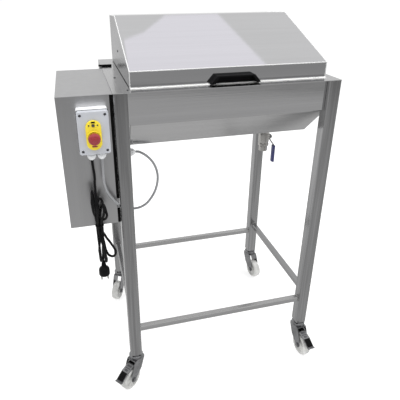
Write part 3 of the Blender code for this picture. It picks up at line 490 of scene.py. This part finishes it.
# Each run's place at the tie, in strands to the right and rearwards.
SEATS = {"middle": (0, 0), "right": (1, 0), "back_right": (0.5, 0.866), "back_left": (-0.5, 0.866),
         "left": (-1, 0), "front_left": (-0.5, -0.866), "front_right": (0.5, -0.866)}
TOPS = (0.2520, 0.2760, 0.2960)          # the upper folds, below the rim
BOTTOMS = (0.4740, 0.4690)               # the lower folds, below the rim
PLUG_TOP = (-0.0620, -0.0290, 0.4764)    # where the lead enters the plug's neck
CORD_STEP = 0.0035                       # between two points of a drawn cord


def eased(share):
    return share * share * (3 - 2 * share)


def fold(a_from, a_to, h_end, upper, opening=0.0):
    """A half turn between the front and back runs at the hank's upper or lower end."""
    points = []
    sign = 1 if upper else -1
    for k in range(7):
        turn = math.pi * k / 6
        a = a_from + (a_to - a_from) * k / 6 + opening * math.sin(turn)
        b = (FRONT_B + BACK_B) / 2 + LOOP * math.cos(turn) * sign
        points.append((a, b, h_end + sign * LOOP * (1 - math.sin(turn))))
    return points


def run(seat_name, b, a_start, h_start, a_end, h_end):
    """One run through the tie, between a point near one end and a point near the other."""
    right, rearward = SEATS[seat_name]
    a_waist, b_waist, h_waist = WAIST[0] + right * STRAND, WAIST[1] + rearward * STRAND, WAIST[2]
    downward = 1 if h_end > h_start else -1
    h_before, h_after = h_waist - downward * 0.010, h_waist + downward * 0.010
    points = [(a_start, b, h_start)]
    for share in (0.35, 0.7):
        points.append((a_start + (a_waist - a_start) * eased(share), b + (b_waist - b) * eased(share),
                       h_start + (h_before - h_start) * share))
    for h in (h_waist - downward * 0.008, h_waist + downward * 0.008):
        points.append((a_waist, b_waist, h))
    for share in (0.3, 0.65, 1.0):
        points.append((a_waist + (a_end - a_waist) * eased(share), b_waist + (b - b_waist) * eased(share),
                       h_after + (h_end - h_after) * share))
    return points


def hank_route():
    """The mains lead from its gland, through the hank's seven runs and its side loop, to the plug."""
    route = list(MAINS_ROUTE)
    route += run("front_left", FRONT_B, -0.0660, 0.2800, -0.0540, 0.4500)
    route += fold(-0.0530, -0.0560, BOTTOMS[0], False)
    route += run("back_left", BACK_B, -0.0570, 0.4500, -0.0720, 0.2820)[1:]
    route += fold(-0.0725, -0.0780, TOPS[0], True)
    route += run("left", FRONT_B, -0.0785, 0.2820, -0.0690, 0.4450)[1:]
    route += fold(-0.0685, -0.0700, BOTTOMS[1], False)
    route += run("back_right", BACK_B, -0.0690, 0.4450, -0.0630, 0.3040)[1:]
    route += fold(-0.0620, -0.0480, TOPS[1], True, 0.0020)
    route += run("front_right", FRONT_B, -0.0475, 0.3040, -0.0480, 0.3880)[1:-1]
    route += [(-0.0480, -0.0390, 0.3930), (-0.0395, -0.0400, 0.4080), (-0.0320, -0.0400, 0.4240),
              (-0.0262, -0.0385, 0.4385), (-0.0262, -0.0355, 0.4535), (-0.0345, -0.0315, 0.4635),
              (-0.0455, -0.0270, 0.4590), (-0.0520, -0.0215, 0.4440), (-0.0545, -0.0170, 0.4230),
              (-0.0575, -0.0180, 0.4000), (-0.0605, -0.0235, 0.3800)]
    route += run("middle", BACK_B, -0.0600, 0.4000, -0.0560, 0.3200)[3:]
    route += fold(-0.0550, -0.0420, TOPS[2], True, 0.0020)
    route += run("right", FRONT_B, -0.0420, 0.3200, -0.0600, 0.4300)[1:-1]
    route += [(-0.0600, -0.0350, 0.4250), (-0.0612, -0.0310, 0.4500), (-0.0618, -0.0292, 0.4660),
              (-0.0620, -0.0290, 0.4762)]
    return route


def make_cords():
    plug = make_plug()
    tie = make_tie()
    points = smooth_path([place(*point) for point in hank_route()], CORD_STEP)
    cord = tube("mains_lead", points, CORD_RADIUS, LOOKS["cord"])
    adopt(cord, "machine", "black_plastic", "mains_cord", "mains_hank")
    points = smooth_path([place(*point) for point in MOTOR_ROUTE], CORD_STEP)
    cable = tube("motor_lead", points, CABLE_RADIUS, LOOKS["cable"])
    adopt(cable, "machine", "cable_grey", "motor_cable")


def make_tie():
    """Cable tie round the hank's waist, with its head in front."""
    centre = place(*WAIST)
    half = 0.0020
    inner, outer = STRAND + CORD_RADIUS + 0.0001, STRAND + CORD_RADIUS + 0.0013
    profile = [(inner, -half), (outer, -half), (outer, half), (inner, half)]
    band = bevel(lathe("tie_band", profile, centre, Z_AXIS, LOOKS["black"], 36), 0.0004)
    low = centre + Vector((-0.0030, -outer - 0.0030, -0.0026))
    outline = rounded(low.x, low.x + 0.0060, low.z, low.z + 0.0052, 0.0010, 3)
    head = prism("tie_head", outline, "Y", low.y, low.y + 0.0034, LOOKS["black"], 0.0004)
    return adopt(joined("hank_tie", [band, head]), "machine", "black_plastic")


def make_plug():
    """Two-pin moulded plug with a ribbed neck."""
    top = place(*PLUG_TOP)
    neck = [(0, 0), (0.0048, 0)]
    for k in range(4):
        start = 0.0012 + k * 0.0040
        radius = 0.0052 + k * 0.0005
        groove = radius - 0.0010
        neck += [(radius, start), (radius, start + 0.0022)]
        neck += [(groove, start + 0.0026), (groove, start + 0.0038)]
    shoulder = [(0.0074, 0.0180), (0.0092, 0.0200), (0.0126, 0.0230), (0.0148, 0.0270), (0.0154, 0.0320)]
    body = [(0.0155, 0.0440), (0.0148, 0.0462), (0.0136, 0.0470), (0, 0.0470)]
    case = lathe("plug_case", neck + shoulder + body, top, -Z_AXIS, LOOKS["black"], 40)
    pins = []
    pin = [(0, 0.042), (0.0022, 0.042), (0.0022, 0.0625), (0.0018, 0.0643), (0.0009, 0.0650), (0, 0.0650)]
    for side in (-1, 1):
        pins.append(lathe("plug_pin", pin, top + X_AXIS * 0.0090 * side, -Z_AXIS, LOOKS["nickel"], 20))
    return adopt(joined("plug_finished", [case, *pins]), "machine", "black_plastic", "mains_plug")


# Sheet metal, tube and welds

WELD_SHIFT, WELD_INSET = 0.0002, 0.002   # past the rail's end, and in from its corners


def make_sheets():
    for name in ("front_left", "front_right", "rear_left", "rear_right"):
        refined("leg_" + name, LOOKS["leg"], 0.0007)
    refined("rail_front", LOOKS["rail_x"])
    refined("rail_rear", LOOKS["rail_x"])
    # The side rails get a darker copy of the front and rear rails' steel: painted shade.
    refined("rail_left", LOOKS["rail_y"])
    refined("rail_right", LOOKS["rail_y"])
    # The rim's upward faces get a darker copy of its steel: painted shade.
    refined("rim_frame", LOOKS["rim"], facing=Z_AXIS, painted_shade_look=LOOKS["rim_top"])
    refined("trough_pan", LOOKS["pan"])
    refined("end_plate_left", LOOKS["pan"], 0.0005)
    refined("screen", LOOKS["screen"], 0.0005)
    # The lid's left-facing faces get a much darker copy of its steel: painted shade on that side.
    refined("lid_shell", LOOKS["lid"], facing=-X_AXIS, painted_shade_look=LOOKS["cheek"])
    refined("drive_cover", LOOKS["box"])
    refined("drive_plate", LOOKS["box"], 0.0005)
    refined("hinge_rod", LOOKS["bar"], 0.0005)


def make_welds():
    """Beads round both ends of each rail, where it meets the legs."""
    number = 0
    for node, along in (("rail_front", 0), ("rail_rear", 0), ("rail_left", 1), ("rail_right", 1)):
        low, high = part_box(node)
        low[along] -= WELD_SHIFT
        high[along] += WELD_SHIFT
        across = 1 - along
        for end in (low[along], high[along]):
            flat, upright = [], []
            for z in (low.z, high.z):
                start, stop = Vector((end, end, z)), Vector((end, end, z))
                start[across], stop[across] = low[across] + WELD_INSET, high[across] - WELD_INSET
                flat.append((start, stop))
            for side in (low[across], high[across]):
                start = Vector((end, end, low.z + WELD_INSET))
                stop = Vector((end, end, high.z - WELD_INSET))
                start[across] = stop[across] = side
                upright.append((start, stop))
            for start, stop in flat + upright:
                number += 1
                bead("weld_rail_%d" % number, start, stop)


def screw(name, centre, axis, radius, body="machine"):
    """Pan-head screw with a hexagon socket."""
    height = 0.0016
    profile = [(0, -0.0002), (radius, -0.0002), (radius, height * 0.35), (radius * 0.86, height * 0.8),
               (radius * 0.55, height), (radius * 0.50, height), (radius * 0.48, height * 0.25),
               (0, height * 0.25)]
    adopt(lathe(name, profile, centre, axis, LOOKS["screw"], 24, 6, (5, 6)), body, "machined_steel")


def make_lid_seam_highlights():
    """Rounded rods along the lid's front fold and the edges of its two cheeks, where its seams are welded and
    polished; their pale, half-metallic white is a painted highlight along these edges.
    """
    low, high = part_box("lid_shell")
    middle, inward = (low.x + high.x) / 2, 0.0010
    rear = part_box("hinge_rod")[0].y - 0.001
    bm = clean_faces("lid_shell")
    seam_highlights = []
    for edge in bm.edges:
        ends = [vert.co.copy() for vert in edge.verts]
        folded = len(edge.link_faces) == 2 and edge.calc_face_angle_signed() > 0.3
        raised = max(end.z for end in ends) > low.z + 0.02 and edge.calc_length() > 0.02
        across = abs(ends[0].x - ends[1].x) > 0.1
        ridge = across and ends[0].z > low.z + 0.08
        if folded and raised and not ridge and max(end.y for end in ends) < rear:
            for end in ends:
                end += Vector((math.copysign(inward, middle - end.x), 0, -inward))
            seam_highlights.append(tube("lid_seam_highlight", ends, 0.0014, LOOKS["painted_seam_line"], resolution=2))
    bm.free()
    adopt(joined("lid_seam_highlights", seam_highlights), "lid", NODE_SLOT["lid_shell"])


def make_lid_details():
    low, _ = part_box("lid_shell")
    make_lid_seam_highlights()
    refined("lid_pull", LOOKS["black"], 0.0008, 3)
    refined("lid_switch", LOOKS["black"], 0.0010, 3)
    screw("cheek_screw", Vector((low.x, FRONT + 0.290, RIM + 0.060)), -X_AXIS, 0.0035, "lid")
    screw("flange_screw", place(0.0250, 0.1900, 0), Z_AXIS, 0.0032)
    screw("flange_screw_front", place(0.0420, 0.0300, 0), Z_AXIS, 0.0026)


# Control enclosure

BUTTON_A, BUTTON_H = -0.0565, 0.0925     # from the frame's left face, and below the rim


def button_place(y):
    """The stop button's middle, at this depth."""
    return Vector((LEFT + BUTTON_A, y, RIM - BUTTON_H))


def make_controls():
    """Base, and a cover with a bore for the stop button and a recess for each screw."""
    # The base's shell is paler than the cover: partly its own light grey, partly a painted highlight on its top
    # face.
    refined("control_base", LOOKS["grey"], 0.0012, 3)
    cover_low, cover_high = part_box("control_cover")
    face = cover_low.y
    outline = rounded(cover_low.x, cover_high.x, cover_low.z, cover_high.z, 0.0055)
    cover = prism("cover_body", outline, "Y", face, cover_high.y, LOOKS["cover"])
    inset = 0.0085
    corners = [Vector((x, face, z)) for x in (cover_low.x + inset, cover_high.x - inset)
               for z in (cover_low.z + inset, cover_high.z - inset)]
    bore = [(0, -0.01), (0.0086, -0.01), (0.0086, 0.03), (0, 0.03)]
    recess = [(0, -0.001), (0.0036, -0.001), (0.0036, 0.0022), (0, 0.0022)]
    tools = [lathe("cover_bore", bore, button_place(face), Y_AXIS, LOOKS["cover"], 32)]
    tools += [lathe("cover_recess", recess, corner, Y_AXIS, LOOKS["cover"], 24) for corner in corners]
    for tool in tools:
        modifier = cover.modifiers.new("Cut", "BOOLEAN")
        modifier.operation = "DIFFERENCE"
        modifier.object = tool
    bevel(cover, 0.0012, 3, 40)
    bpy.context.view_layer.update()
    graph = bpy.context.evaluated_depsgraph_get()
    mesh = bpy.data.meshes.new_from_object(cover.evaluated_get(graph))
    cover.modifiers.clear()
    cover.data = mesh
    for tool in tools:
        bpy.data.objects.remove(tool, do_unlink=True)
    cover.name = "cover_finished"
    adopt(cover, "machine", "enclosure_grey", "control_cover")
    profile = [(0, 0), (0.0031, 0), (0.0031, 0.0010), (0.0024, 0.0016), (0.0010, 0.0016), (0.0009, 0.0006),
               (0, 0.0006)]
    for number, corner in enumerate(corners, 1):
        seat = corner + Y_AXIS * 0.0021
        head = lathe("cover_screw_%d" % number, profile, seat, -Y_AXIS, LOOKS["screw"], 20)
        adopt(head, "machine", "machined_steel")
    make_plate_and_button()


def make_seal_and_gap_shades():
    """Black strips in the slot beside the leg, a pale strip below the lid, and a black ring round the control
    box's cover: the black strips and ring are painted shade of the gaps.
    """
    left, right, near, far = LEFT - 0.0086, LEFT - 0.0006, FRONT + 0.0010, FRONT + 0.0120
    outline = [(left, near), (right, near), (right, far), (left, far)]
    # Black strips filling the slot beside the leg: painted shade of the gap.
    for k, (top, bottom) in enumerate(((0.0020, 0.2960), (0.3310, 0.3722))):
        strip = prism("slot_gap_shade_%d" % k, outline, "Z", RIM - bottom, RIM - top, LOOKS["gap_shade"], 0.0008, 3)
        adopt(strip, "machine", "belt_rubber")
    low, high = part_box("lid_shell")
    section = [(-0.0075, 0.0002), (0.0020, 0.0002), (0.0020, 0.0020), (-0.0015, 0.0024), (-0.0065, 0.0022)]
    outline = [(low.y + y, RIM + z) for y, z in section]
    seal = prism("lid_seal", outline, "X", low.x + 0.001, high.x - 0.001, LOOKS["seal"], 0.0003, 2)
    adopt(seal, "machine", "gland_white")
    # A black ring proud of the seam between base and cover: painted shade of that gap.
    low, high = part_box("control_cover")
    proud, inset, corner = 0.0009, 0.004, 0.0058
    outline = rounded(low.x - proud, high.x + proud, low.z - proud, high.z + proud, corner)
    hole = rounded(low.x + inset, high.x - inset, low.z + inset, high.z - inset, corner)
    painted_seam_line = ring("control_seam_shade", outline, hole, high.y - 0.0008, high.y + 0.0012, LOOKS["gap_shade"])
    adopt(painted_seam_line, "machine", "belt_rubber")


def make_plate_and_button():
    """Yellow plate with its collar, catches and screws, and the stop button."""
    low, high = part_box("switch_plate")
    face, top = low.y, high.z
    centre = button_place(face)
    outline = rounded(low.x, high.x, low.z, high.z, 0.0185, 12)
    plate = prism("plate_body", outline, "Y", face, high.y, LOOKS["yellow"], 0.0012, 3)
    profile = [(0.0157, -0.0002), (0.0172, -0.0002), (0.0172, 0.0012), (0.0166, 0.0020), (0.0157, 0.0020)]
    collar = lathe("plate_collar", profile, centre, -Y_AXIS, LOOKS["yellow"], 40)
    adopt(joined("plate_finished", [plate, collar]), "machine", "plate_yellow", "switch_plate")
    for k, shift in enumerate((-0.0105, 0.0105)):
        screw("plate_screw_%d" % k, Vector((centre.x + shift, face, top - 0.0125)), -Y_AXIS, 0.0019)

    def raised(name, half, bottom, above, radius, proud, look, width):
        outline = rounded(centre.x - half, centre.x + half, bottom, above, radius, 4)
        return prism(name, outline, "Y", face - proud, face + 0.0003, look, width)

    bar = raised("plate_catch", 0.0050, top - 0.0065, top - 0.0030, 0.0016, 0.0014, LOOKS["black"], 0.0004)
    dot = raised("plate_reset", 0.0036, top - 0.0160, top - 0.0095, 0.0014, 0.0016, LOOKS["screw"], 0.0004)
    adopt(joined("plate_catches", [bar, dot]), "machine", "black_plastic")
    mark = raised("plate_mark", 0.0068, low.z + 0.0078, low.z + 0.0118, 0.0016, 0.0006, LOOKS["red"], 0.0003)
    adopt(mark, "machine", "button_red")
    profile = [(0, 0.014), (0.0078, 0.014), (0.0078, -0.0092), (0.0128, -0.0096), (0.0143, -0.0108),
               (0.0150, -0.0128), (0.0150, -0.0170), (0.0143, -0.0192), (0.0128, -0.0210), (0.0100, -0.0228),
               (0.0088, -0.0232), (0.0078, -0.0228), (0.0050, -0.0242), (0.0020, -0.0249), (0, -0.0250)]
    cap = lathe("button_finished", profile, centre + Y_AXIS * 0.0040, Y_AXIS, LOOKS["red"], 64)
    adopt(cap, "stop_actuator", "button_red", "stop_button")


def make_gland_piece(name, node, start, axis, length):
    """Hexagon base, thin washer, ribbed dome nut and the tapered sleeve that the cable leaves."""
    profile = [(0, 0), (0.0100, 0), (0.0106, 0.0008), (0.0106, 0.0052), (0.0100, 0.0060), (0.0090, 0.0061),
               (0.0090, 0.0075), (0.0104, 0.0076), (0.0110, 0.0086), (0.0110, 0.58 * length),
               (0.0104, 0.68 * length), (0.0090, 0.80 * length), (0.0072, 0.90 * length),
               (0.0056, 0.97 * length), (0.0044, length), (0, length)]
    body = lathe(name, profile, start, axis, LOOKS["gland"], 48, 6, (2, 3))
    ribs = []
    side = axis.orthogonal().normalized()
    for k in range(12):
        turn = Matrix.Rotation(math.tau * k / 12, 3, axis)
        out = (turn @ side).normalized()
        foot = start + out * 0.0106
        ends = [foot + axis * 0.0090, foot + axis * 0.56 * length]
        ribs.append(tube("gland_rib", ends, 0.0007, LOOKS["gland"], resolution=2))
    adopt(joined(name, [body, *ribs]), "machine", "gland_white", node)


def make_glands():
    for node, a in (("gland_mains", -0.066), ("gland_motor", -0.0405)):
        box_low, box_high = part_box(node)
        start = Vector((LEFT + a, FRONT - 0.028, box_high.z))
        make_gland_piece(node + "_finished", node, start, -Z_AXIS, box_high.z - box_low.z)
    box_low, box_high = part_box("gland_drive")
    start = Vector((box_low.x, (box_low.y + box_high.y) / 2, (box_low.z + box_high.z) / 2))
    length = box_high.x - box_low.x
    profile = [(0, 0), (0.0095, 0), (0.0095, 0.012), (0.0095, length - 0.0215), (0.0106, length - 0.0212),
               (0.0110, length - 0.0200), (0.0110, length - 0.0105), (0.0102, length - 0.0080),
               (0.0090, length - 0.0045), (0.0070, length - 0.0020), (0.0050, length), (0, length)]
    body = lathe("gland_drive_finished", profile, start, X_AXIS, LOOKS["gland"], 48, 6, (4, 5))
    adopt(body, "machine", "gland_white", "gland_drive")


# Casters

LEG_FOOT = 0.902                         # the legs' lower ends, below the rim


def make_casters():
    parents = {joint["child"]: joint for joint in frame["joints"]}
    for name in ("front_left", "front_right", "rear_left", "rear_right"):
        wheel_joint = parents["wheel_" + name]
        centre, axis = Vector(wheel_joint["pos_m"]), Vector(wheel_joint["axis"]).normalized()
        pivot = Vector(parents["swivel_" + name]["pos_m"])
        make_wheel(name, centre, axis)
        refined("caster_fork_" + name, LOOKS["zinc"], 0.0008)
        make_head(name, pivot)
        make_nuts(name, centre, axis)
        if name.startswith("front"):
            refined("brake_pedal_" + name, LOOKS["zinc"], 0.0008)
            make_tread("brake_pedal_" + name, pivot, centre)


def make_head(name, pivot):
    """Plug in the leg, collar and the two races of the swivel."""
    profile = [(0, 0.034), (0.0140, 0.034), (0.0140, -0.0003), (0.0185, -0.0003), (0.0190, -0.0012),
               (0.0190, -0.0046), (0.0182, -0.0060), (0.0205, -0.0066), (0.0228, -0.0082), (0.0236, -0.0105),
               (0.0236, -0.0128), (0.0222, -0.0136), (0.0222, -0.0146), (0.0236, -0.0152), (0.0236, -0.0178),
               (0.0228, -0.0185), (0, -0.0185)]
    centre = Vector((pivot.x, pivot.y, RIM - LEG_FOOT))
    head = lathe("caster_head_%s_finished" % name, profile, centre, Z_AXIS, LOOKS["zinc"], 56)
    adopt(head, "machine", "zinc_plate", "caster_head_" + name)


def make_nuts(name, centre, axis):
    """A nut on each end of the axle, outside the fork."""
    half = 0.0185
    profile = [(0, half), (0.0068, half), (0.0070, half + 0.0006), (0.0070, half + 0.0036),
               (0.0062, half + 0.0040), (0, half + 0.0040)]
    for k, side in enumerate((-1, 1)):
        piece = "axle_nut_%s_%d" % (name, k)
        nut = lathe(piece, profile, centre, axis * side, LOOKS["zinc"], 36, 6, (1, 2, 3, 4))
        adopt(nut, "swivel_" + name, "zinc_plate")


def make_tread(node, pivot, centre):
    """Black pad with ribs on the pedal's foot, and the stamped panels behind it."""
    out = Vector((centre.x - pivot.x, centre.y - pivot.y, 0)).normalized()
    side = Z_AXIS.cross(out)

    def at(reach, height):
        return Vector((pivot.x, pivot.y, height)) + out * reach

    def plank(start, end, half, lift, look):
        up = side.cross(start - end).normalized()
        up = up if up.z > 0 else -up
        bm = bmesh.new()
        section = [side * across + up * rise for across, rise in
                   ((-half, -0.0004), (half, -0.0004), (half, lift), (-half, lift))]
        near, far = [[bm.verts.new(point + shift) for shift in section] for point in (start, end)]
        bm.faces.new(near)
        bm.faces.new(far)
        for k in range(4):
            bm.faces.new((near[k], near[(k + 1) % 4], far[(k + 1) % 4], far[k]))
        return bevel(from_bmesh("tread_piece", bm, look), 0.0003, 2)

    top, foot = at(0.0600, 0.0870), at(0.0880, 0.0700)
    pieces = [plank(top.lerp(foot, 0.04), top.lerp(foot, 0.97), 0.0115, 0.0007, LOOKS["black"])]
    for k in range(5):
        share = 0.08 + 0.19 * k
        start, end = top.lerp(foot, share), top.lerp(foot, share + 0.08)
        pieces.append(plank(start, end, 0.0112, 0.0022, LOOKS["black"]))
    adopt(joined(node + "_tread", pieces), NODE_BODY[node], "black_plastic")
    rear, front = at(0.0300, 0.0925), at(0.0600, 0.0870)
    pieces = [plank(rear.lerp(front, a), rear.lerp(front, b), half, 0.0008, LOOKS["screw"])
              for a, b, half in ((0.10, 0.34, 0.0085), (0.44, 0.56, 0.0100), (0.66, 0.90, 0.0060))]
    adopt(joined(node + "_stamping", pieces), NODE_BODY[node], "machined_steel")


def make_wheel(name, centre, axis):
    """Nylon wheel: rounded tread, dished web with ribs, and hub."""
    half = 0.013
    side = [(0.0043, half + 0.0010), (0.0090, half + 0.0010), (0.0105, half + 0.0004),
            (0.0112, half - 0.0030), (0.0118, half - 0.0048), (0.0270, half - 0.0044),
            (0.0290, half - 0.0030), (0.0298, half - 0.0004), (0.0310, half), (0.0345, half),
            (0.0372, half - 0.0010), (0.0386, half - 0.0032), (0.0390, half - 0.0060)]
    profile = [(r, -d) for r, d in side] + [(r, d) for r, d in reversed(side)]
    parts = [lathe("wheel_disc", profile, centre, axis, LOOKS["nylon"], 72)]
    across = axis.orthogonal().normalized()
    for k in range(6):
        out = Matrix.Rotation(math.tau * k / 6, 3, axis) @ across
        for sign in (-1, 1):
            at = centre + axis * sign * (half - 0.0040)
            ends = [at + out * 0.0115, at + out * 0.0288]
            parts.append(tube("wheel_rib", ends, 0.0011, LOOKS["nylon"], resolution=2))
    wheel = joined("caster_wheel_%s_finished" % name, parts)
    adopt(wheel, "wheel_" + name, "white_nylon", "caster_wheel_" + name)


# Valve

VALVE = (0.545, 0.256, 0.252)            # middle of the ball
VALVE_TOP = 0.1713                       # where the valve meets the pan, below the rim


def make_valve():
    """Ball valve below the pan: hexagons, bore and thread, spindle boss, and lever with its nut and grip."""
    top = VALVE_TOP
    profile = [(0.0170, top), (0.0172, top + 0.0008), (0.0172, top + 0.0036), (0.0135, top + 0.0046),
               (0.0133, 0.2190), (0.0162, 0.2215), (0.0165, 0.2225), (0.0165, 0.2310), (0.0158, 0.2325),
               (0.0176, 0.2350), (0.0184, 0.2400), (0.0185, 0.2520), (0.0184, 0.2640), (0.0176, 0.2700),
               (0.0158, 0.2728), (0.0165, 0.2742), (0.0165, 0.2826), (0.0150, 0.2842), (0.0146, 0.2850)]
    profile += [(0.0150 - 0.0004 * (k % 2), 0.2860 + 0.0020 * k) for k in range(7)]
    profile += [(0.0144, 0.3018), (0.0132, 0.3020), (0.0090, 0.302), (0.0090, 0.264), (0.0136, 0.2635),
                (0.0136, 0.2405), (0.0090, 0.240), (0.0090, top)]
    centre = place(*VALVE)
    at_rim = place(*VALVE[:2], 0)
    body = lathe("valve_shell", profile, at_rim, -Z_AXIS, LOOKS["nickel"], 56, 6, (6, 7, 15, 16))
    profile = [(0.0046, 0.0150), (0.0088, 0.0150), (0.0088, 0.0205), (0.0080, 0.0212), (0.0046, 0.0212)]
    boss = lathe("valve_boss", profile, centre, X_AXIS, LOOKS["nickel"], 40)
    adopt(joined("valve_body_finished", [body, boss]), "machine", "nickelled_brass", "valve_body")
    refined("valve_lever", LOOKS["zinc"], 0.0005)
    profile = [(0, 0.0242), (0.0060, 0.0242), (0.0062, 0.0248), (0.0062, 0.0280), (0.0056, 0.0286),
               (0, 0.0286)]
    nut = lathe("lever_nut", profile, centre, X_AXIS, LOOKS["zinc"], 36, 6, (1, 2, 3, 4))
    adopt(nut, "valve_handle", "machined_steel")
    refined("lever_grip", LOOKS["blue"], 0.0012, 3)


def plain_looks():
    """Materials for the CAD nodes that stay as they are."""
    looks = {
        "bar": ("rotor_shaft", "motor_pulley"),
        "dark": ("rotor_drum", "rotor_pulley", "hammer_front_1", "hammer_front_2", "hammer_rear_1",
                 "hammer_rear_2", "bearing_left", "bearing_right"),
        "paint": ("motor_body",),
        "rubber": ("drive_belt",),
        "nickel": ("valve_ball",),
    }
    for look, nodes in looks.items():
        for node in nodes:
            NODES[node].data.materials.clear()
            NODES[node].data.materials.append(LOOKS[look])


# Floor, light and surroundings

def bare_material(name):
    """A material with no shader, and the socket that its surface goes to."""
    made = bpy.data.materials.new(name)
    made.use_nodes = True
    made.node_tree.nodes.remove(made.node_tree.nodes["Principled BSDF"])
    return made, Nodes(made.node_tree), made.node_tree.nodes["Material Output"].inputs["Surface"]


def make_floor():
    """White floor with an even glow, which for reflected rays alone glows in grey bands that get paler with
    distance: a painted reflection of a grey room in the polished steel.
    """
    look, nodes, surface = bare_material("floor_look")
    where = nodes.add("ShaderNodeTexCoord").outputs["Object"]
    split = nodes.add("ShaderNodeSeparateXYZ", {0: where})
    along = nodes.math("ADD", split.outputs["Y"], nodes.math("MULTIPLY", split.outputs["X"], -0.26))
    share = nodes.math("DIVIDE", nodes.math("ADD", along, 8.0), 10.0)
    painted_reflection_tone = nodes.grey(share, [(0.14, 0.30), (0.30, 0.33), (0.335, 0.25), (0.345, 0.25), (0.375, 0.44),
                              (0.60, 0.47), (0.80, 0.62), (0.95, 0.80)])
    pale = nodes.add("ShaderNodeBsdfDiffuse", {"Color": (0.64, 0.64, 0.64, 1)})
    lift = nodes.add("ShaderNodeEmission", {"Color": (1, 1, 1, 1), "Strength": 0.52})
    seen = nodes.add("ShaderNodeAddShader", {0: pale.outputs[0], 1: lift.outputs[0]})
    # Reflected rays alone see this glow: painted reflection.
    mirrored = nodes.add("ShaderNodeEmission", {"Color": painted_reflection_tone, "Strength": 1.0})
    ray = nodes.add("ShaderNodeLightPath").outputs["Is Glossy Ray"]
    mixed = nodes.add("ShaderNodeMixShader", {0: ray, 1: seen.outputs[0], 2: mirrored.outputs[0]})
    link(nodes, mixed.outputs[0], surface)
    bm = bmesh.new()
    bmesh.ops.create_grid(bm, x_segments=1, y_segments=1, size=40)
    from_bmesh("floor", bm, look)


def make_panel():
    """Overhead light panel that the lid mirrors."""
    outline = [(0.08, 1.10), (1.29, 1.14), (0.94, 1.77), (0.47, 1.76), (0.25, 1.58), (0.08, 1.51)]
    look, nodes, surface = bare_material("panel_light")
    shine = nodes.add("ShaderNodeEmission", {"Color": (0.965, 0.95, 1.0, 1), "Strength": 1.05})
    link(nodes, shine.outputs[0], surface)
    panel = prism("light_panel", outline, "Z", 3.0, 3.002, look)
    panel.visible_camera = False
    panel.visible_shadow = False


def make_world():
    """Surroundings in greys that change with height, one set in front and one behind."""
    world = bpy.context.scene.world or bpy.data.worlds.new("world")
    bpy.context.scene.world = world
    world.use_nodes = True
    nodes = Nodes(world.node_tree)
    where = nodes.add("ShaderNodeTexCoord").outputs["Generated"]
    split = nodes.add("ShaderNodeSeparateXYZ", {0: where})
    height = nodes.math("ADD", nodes.math("MULTIPLY", split.outputs["Z"], 0.5), 0.5)
    facing = nodes.math("ADD", nodes.math("MULTIPLY", split.outputs["Y"], 0.5), 0.5)
    rear = nodes.grey(height, [(0.48, 0.70), (0.60, 0.76), (0.72, 0.82), (0.86, 0.79), (1.0, 0.90)])
    front = nodes.grey(height, [(0.48, 0.27), (0.56, 0.26), (0.68, 0.55), (0.80, 0.80), (1.0, 0.92)])
    blend = nodes.grey(facing, [(0.30, 0.0), (0.62, 1.0)])
    surround = nodes.add("ShaderNodeMix", {0: blend, 6: front, 7: rear}, data_type="RGBA")
    background = world.node_tree.nodes["Background"]
    link(nodes, surround.outputs[2], background.inputs["Color"])
    background.inputs["Strength"].default_value = 1.0


def make_lamp(name, at, power):
    """Square lamp overhead, aimed at the middle of the object."""
    data = bpy.data.lights.new(name, "AREA")
    data.shape = "RECTANGLE"
    data.size = data.size_y = 2.4
    data.energy = power
    obj = bpy.data.objects.new(name, data)
    obj.location = at
    obj.rotation_euler = (Vector((0, 0, 0.5)) - Vector(at)).to_track_quat("-Z", "Y").to_euler()
    obj.visible_glossy = False
    bpy.context.scene.collection.objects.link(obj)


def make_stage():
    make_floor()
    make_panel()
    make_world()
    make_lamp("key", (-0.7, -0.9, 3.4), 66)
    make_lamp("fill", (1.8, -0.4, 3.2), 40)
    bpy.context.scene.view_settings.view_transform = "Standard"


make_camera()
make_cords()
make_sheets()
make_welds()
make_lid_details()
make_controls()
make_seal_and_gap_shades()
make_glands()
make_casters()
make_valve()
plain_looks()
make_stage()
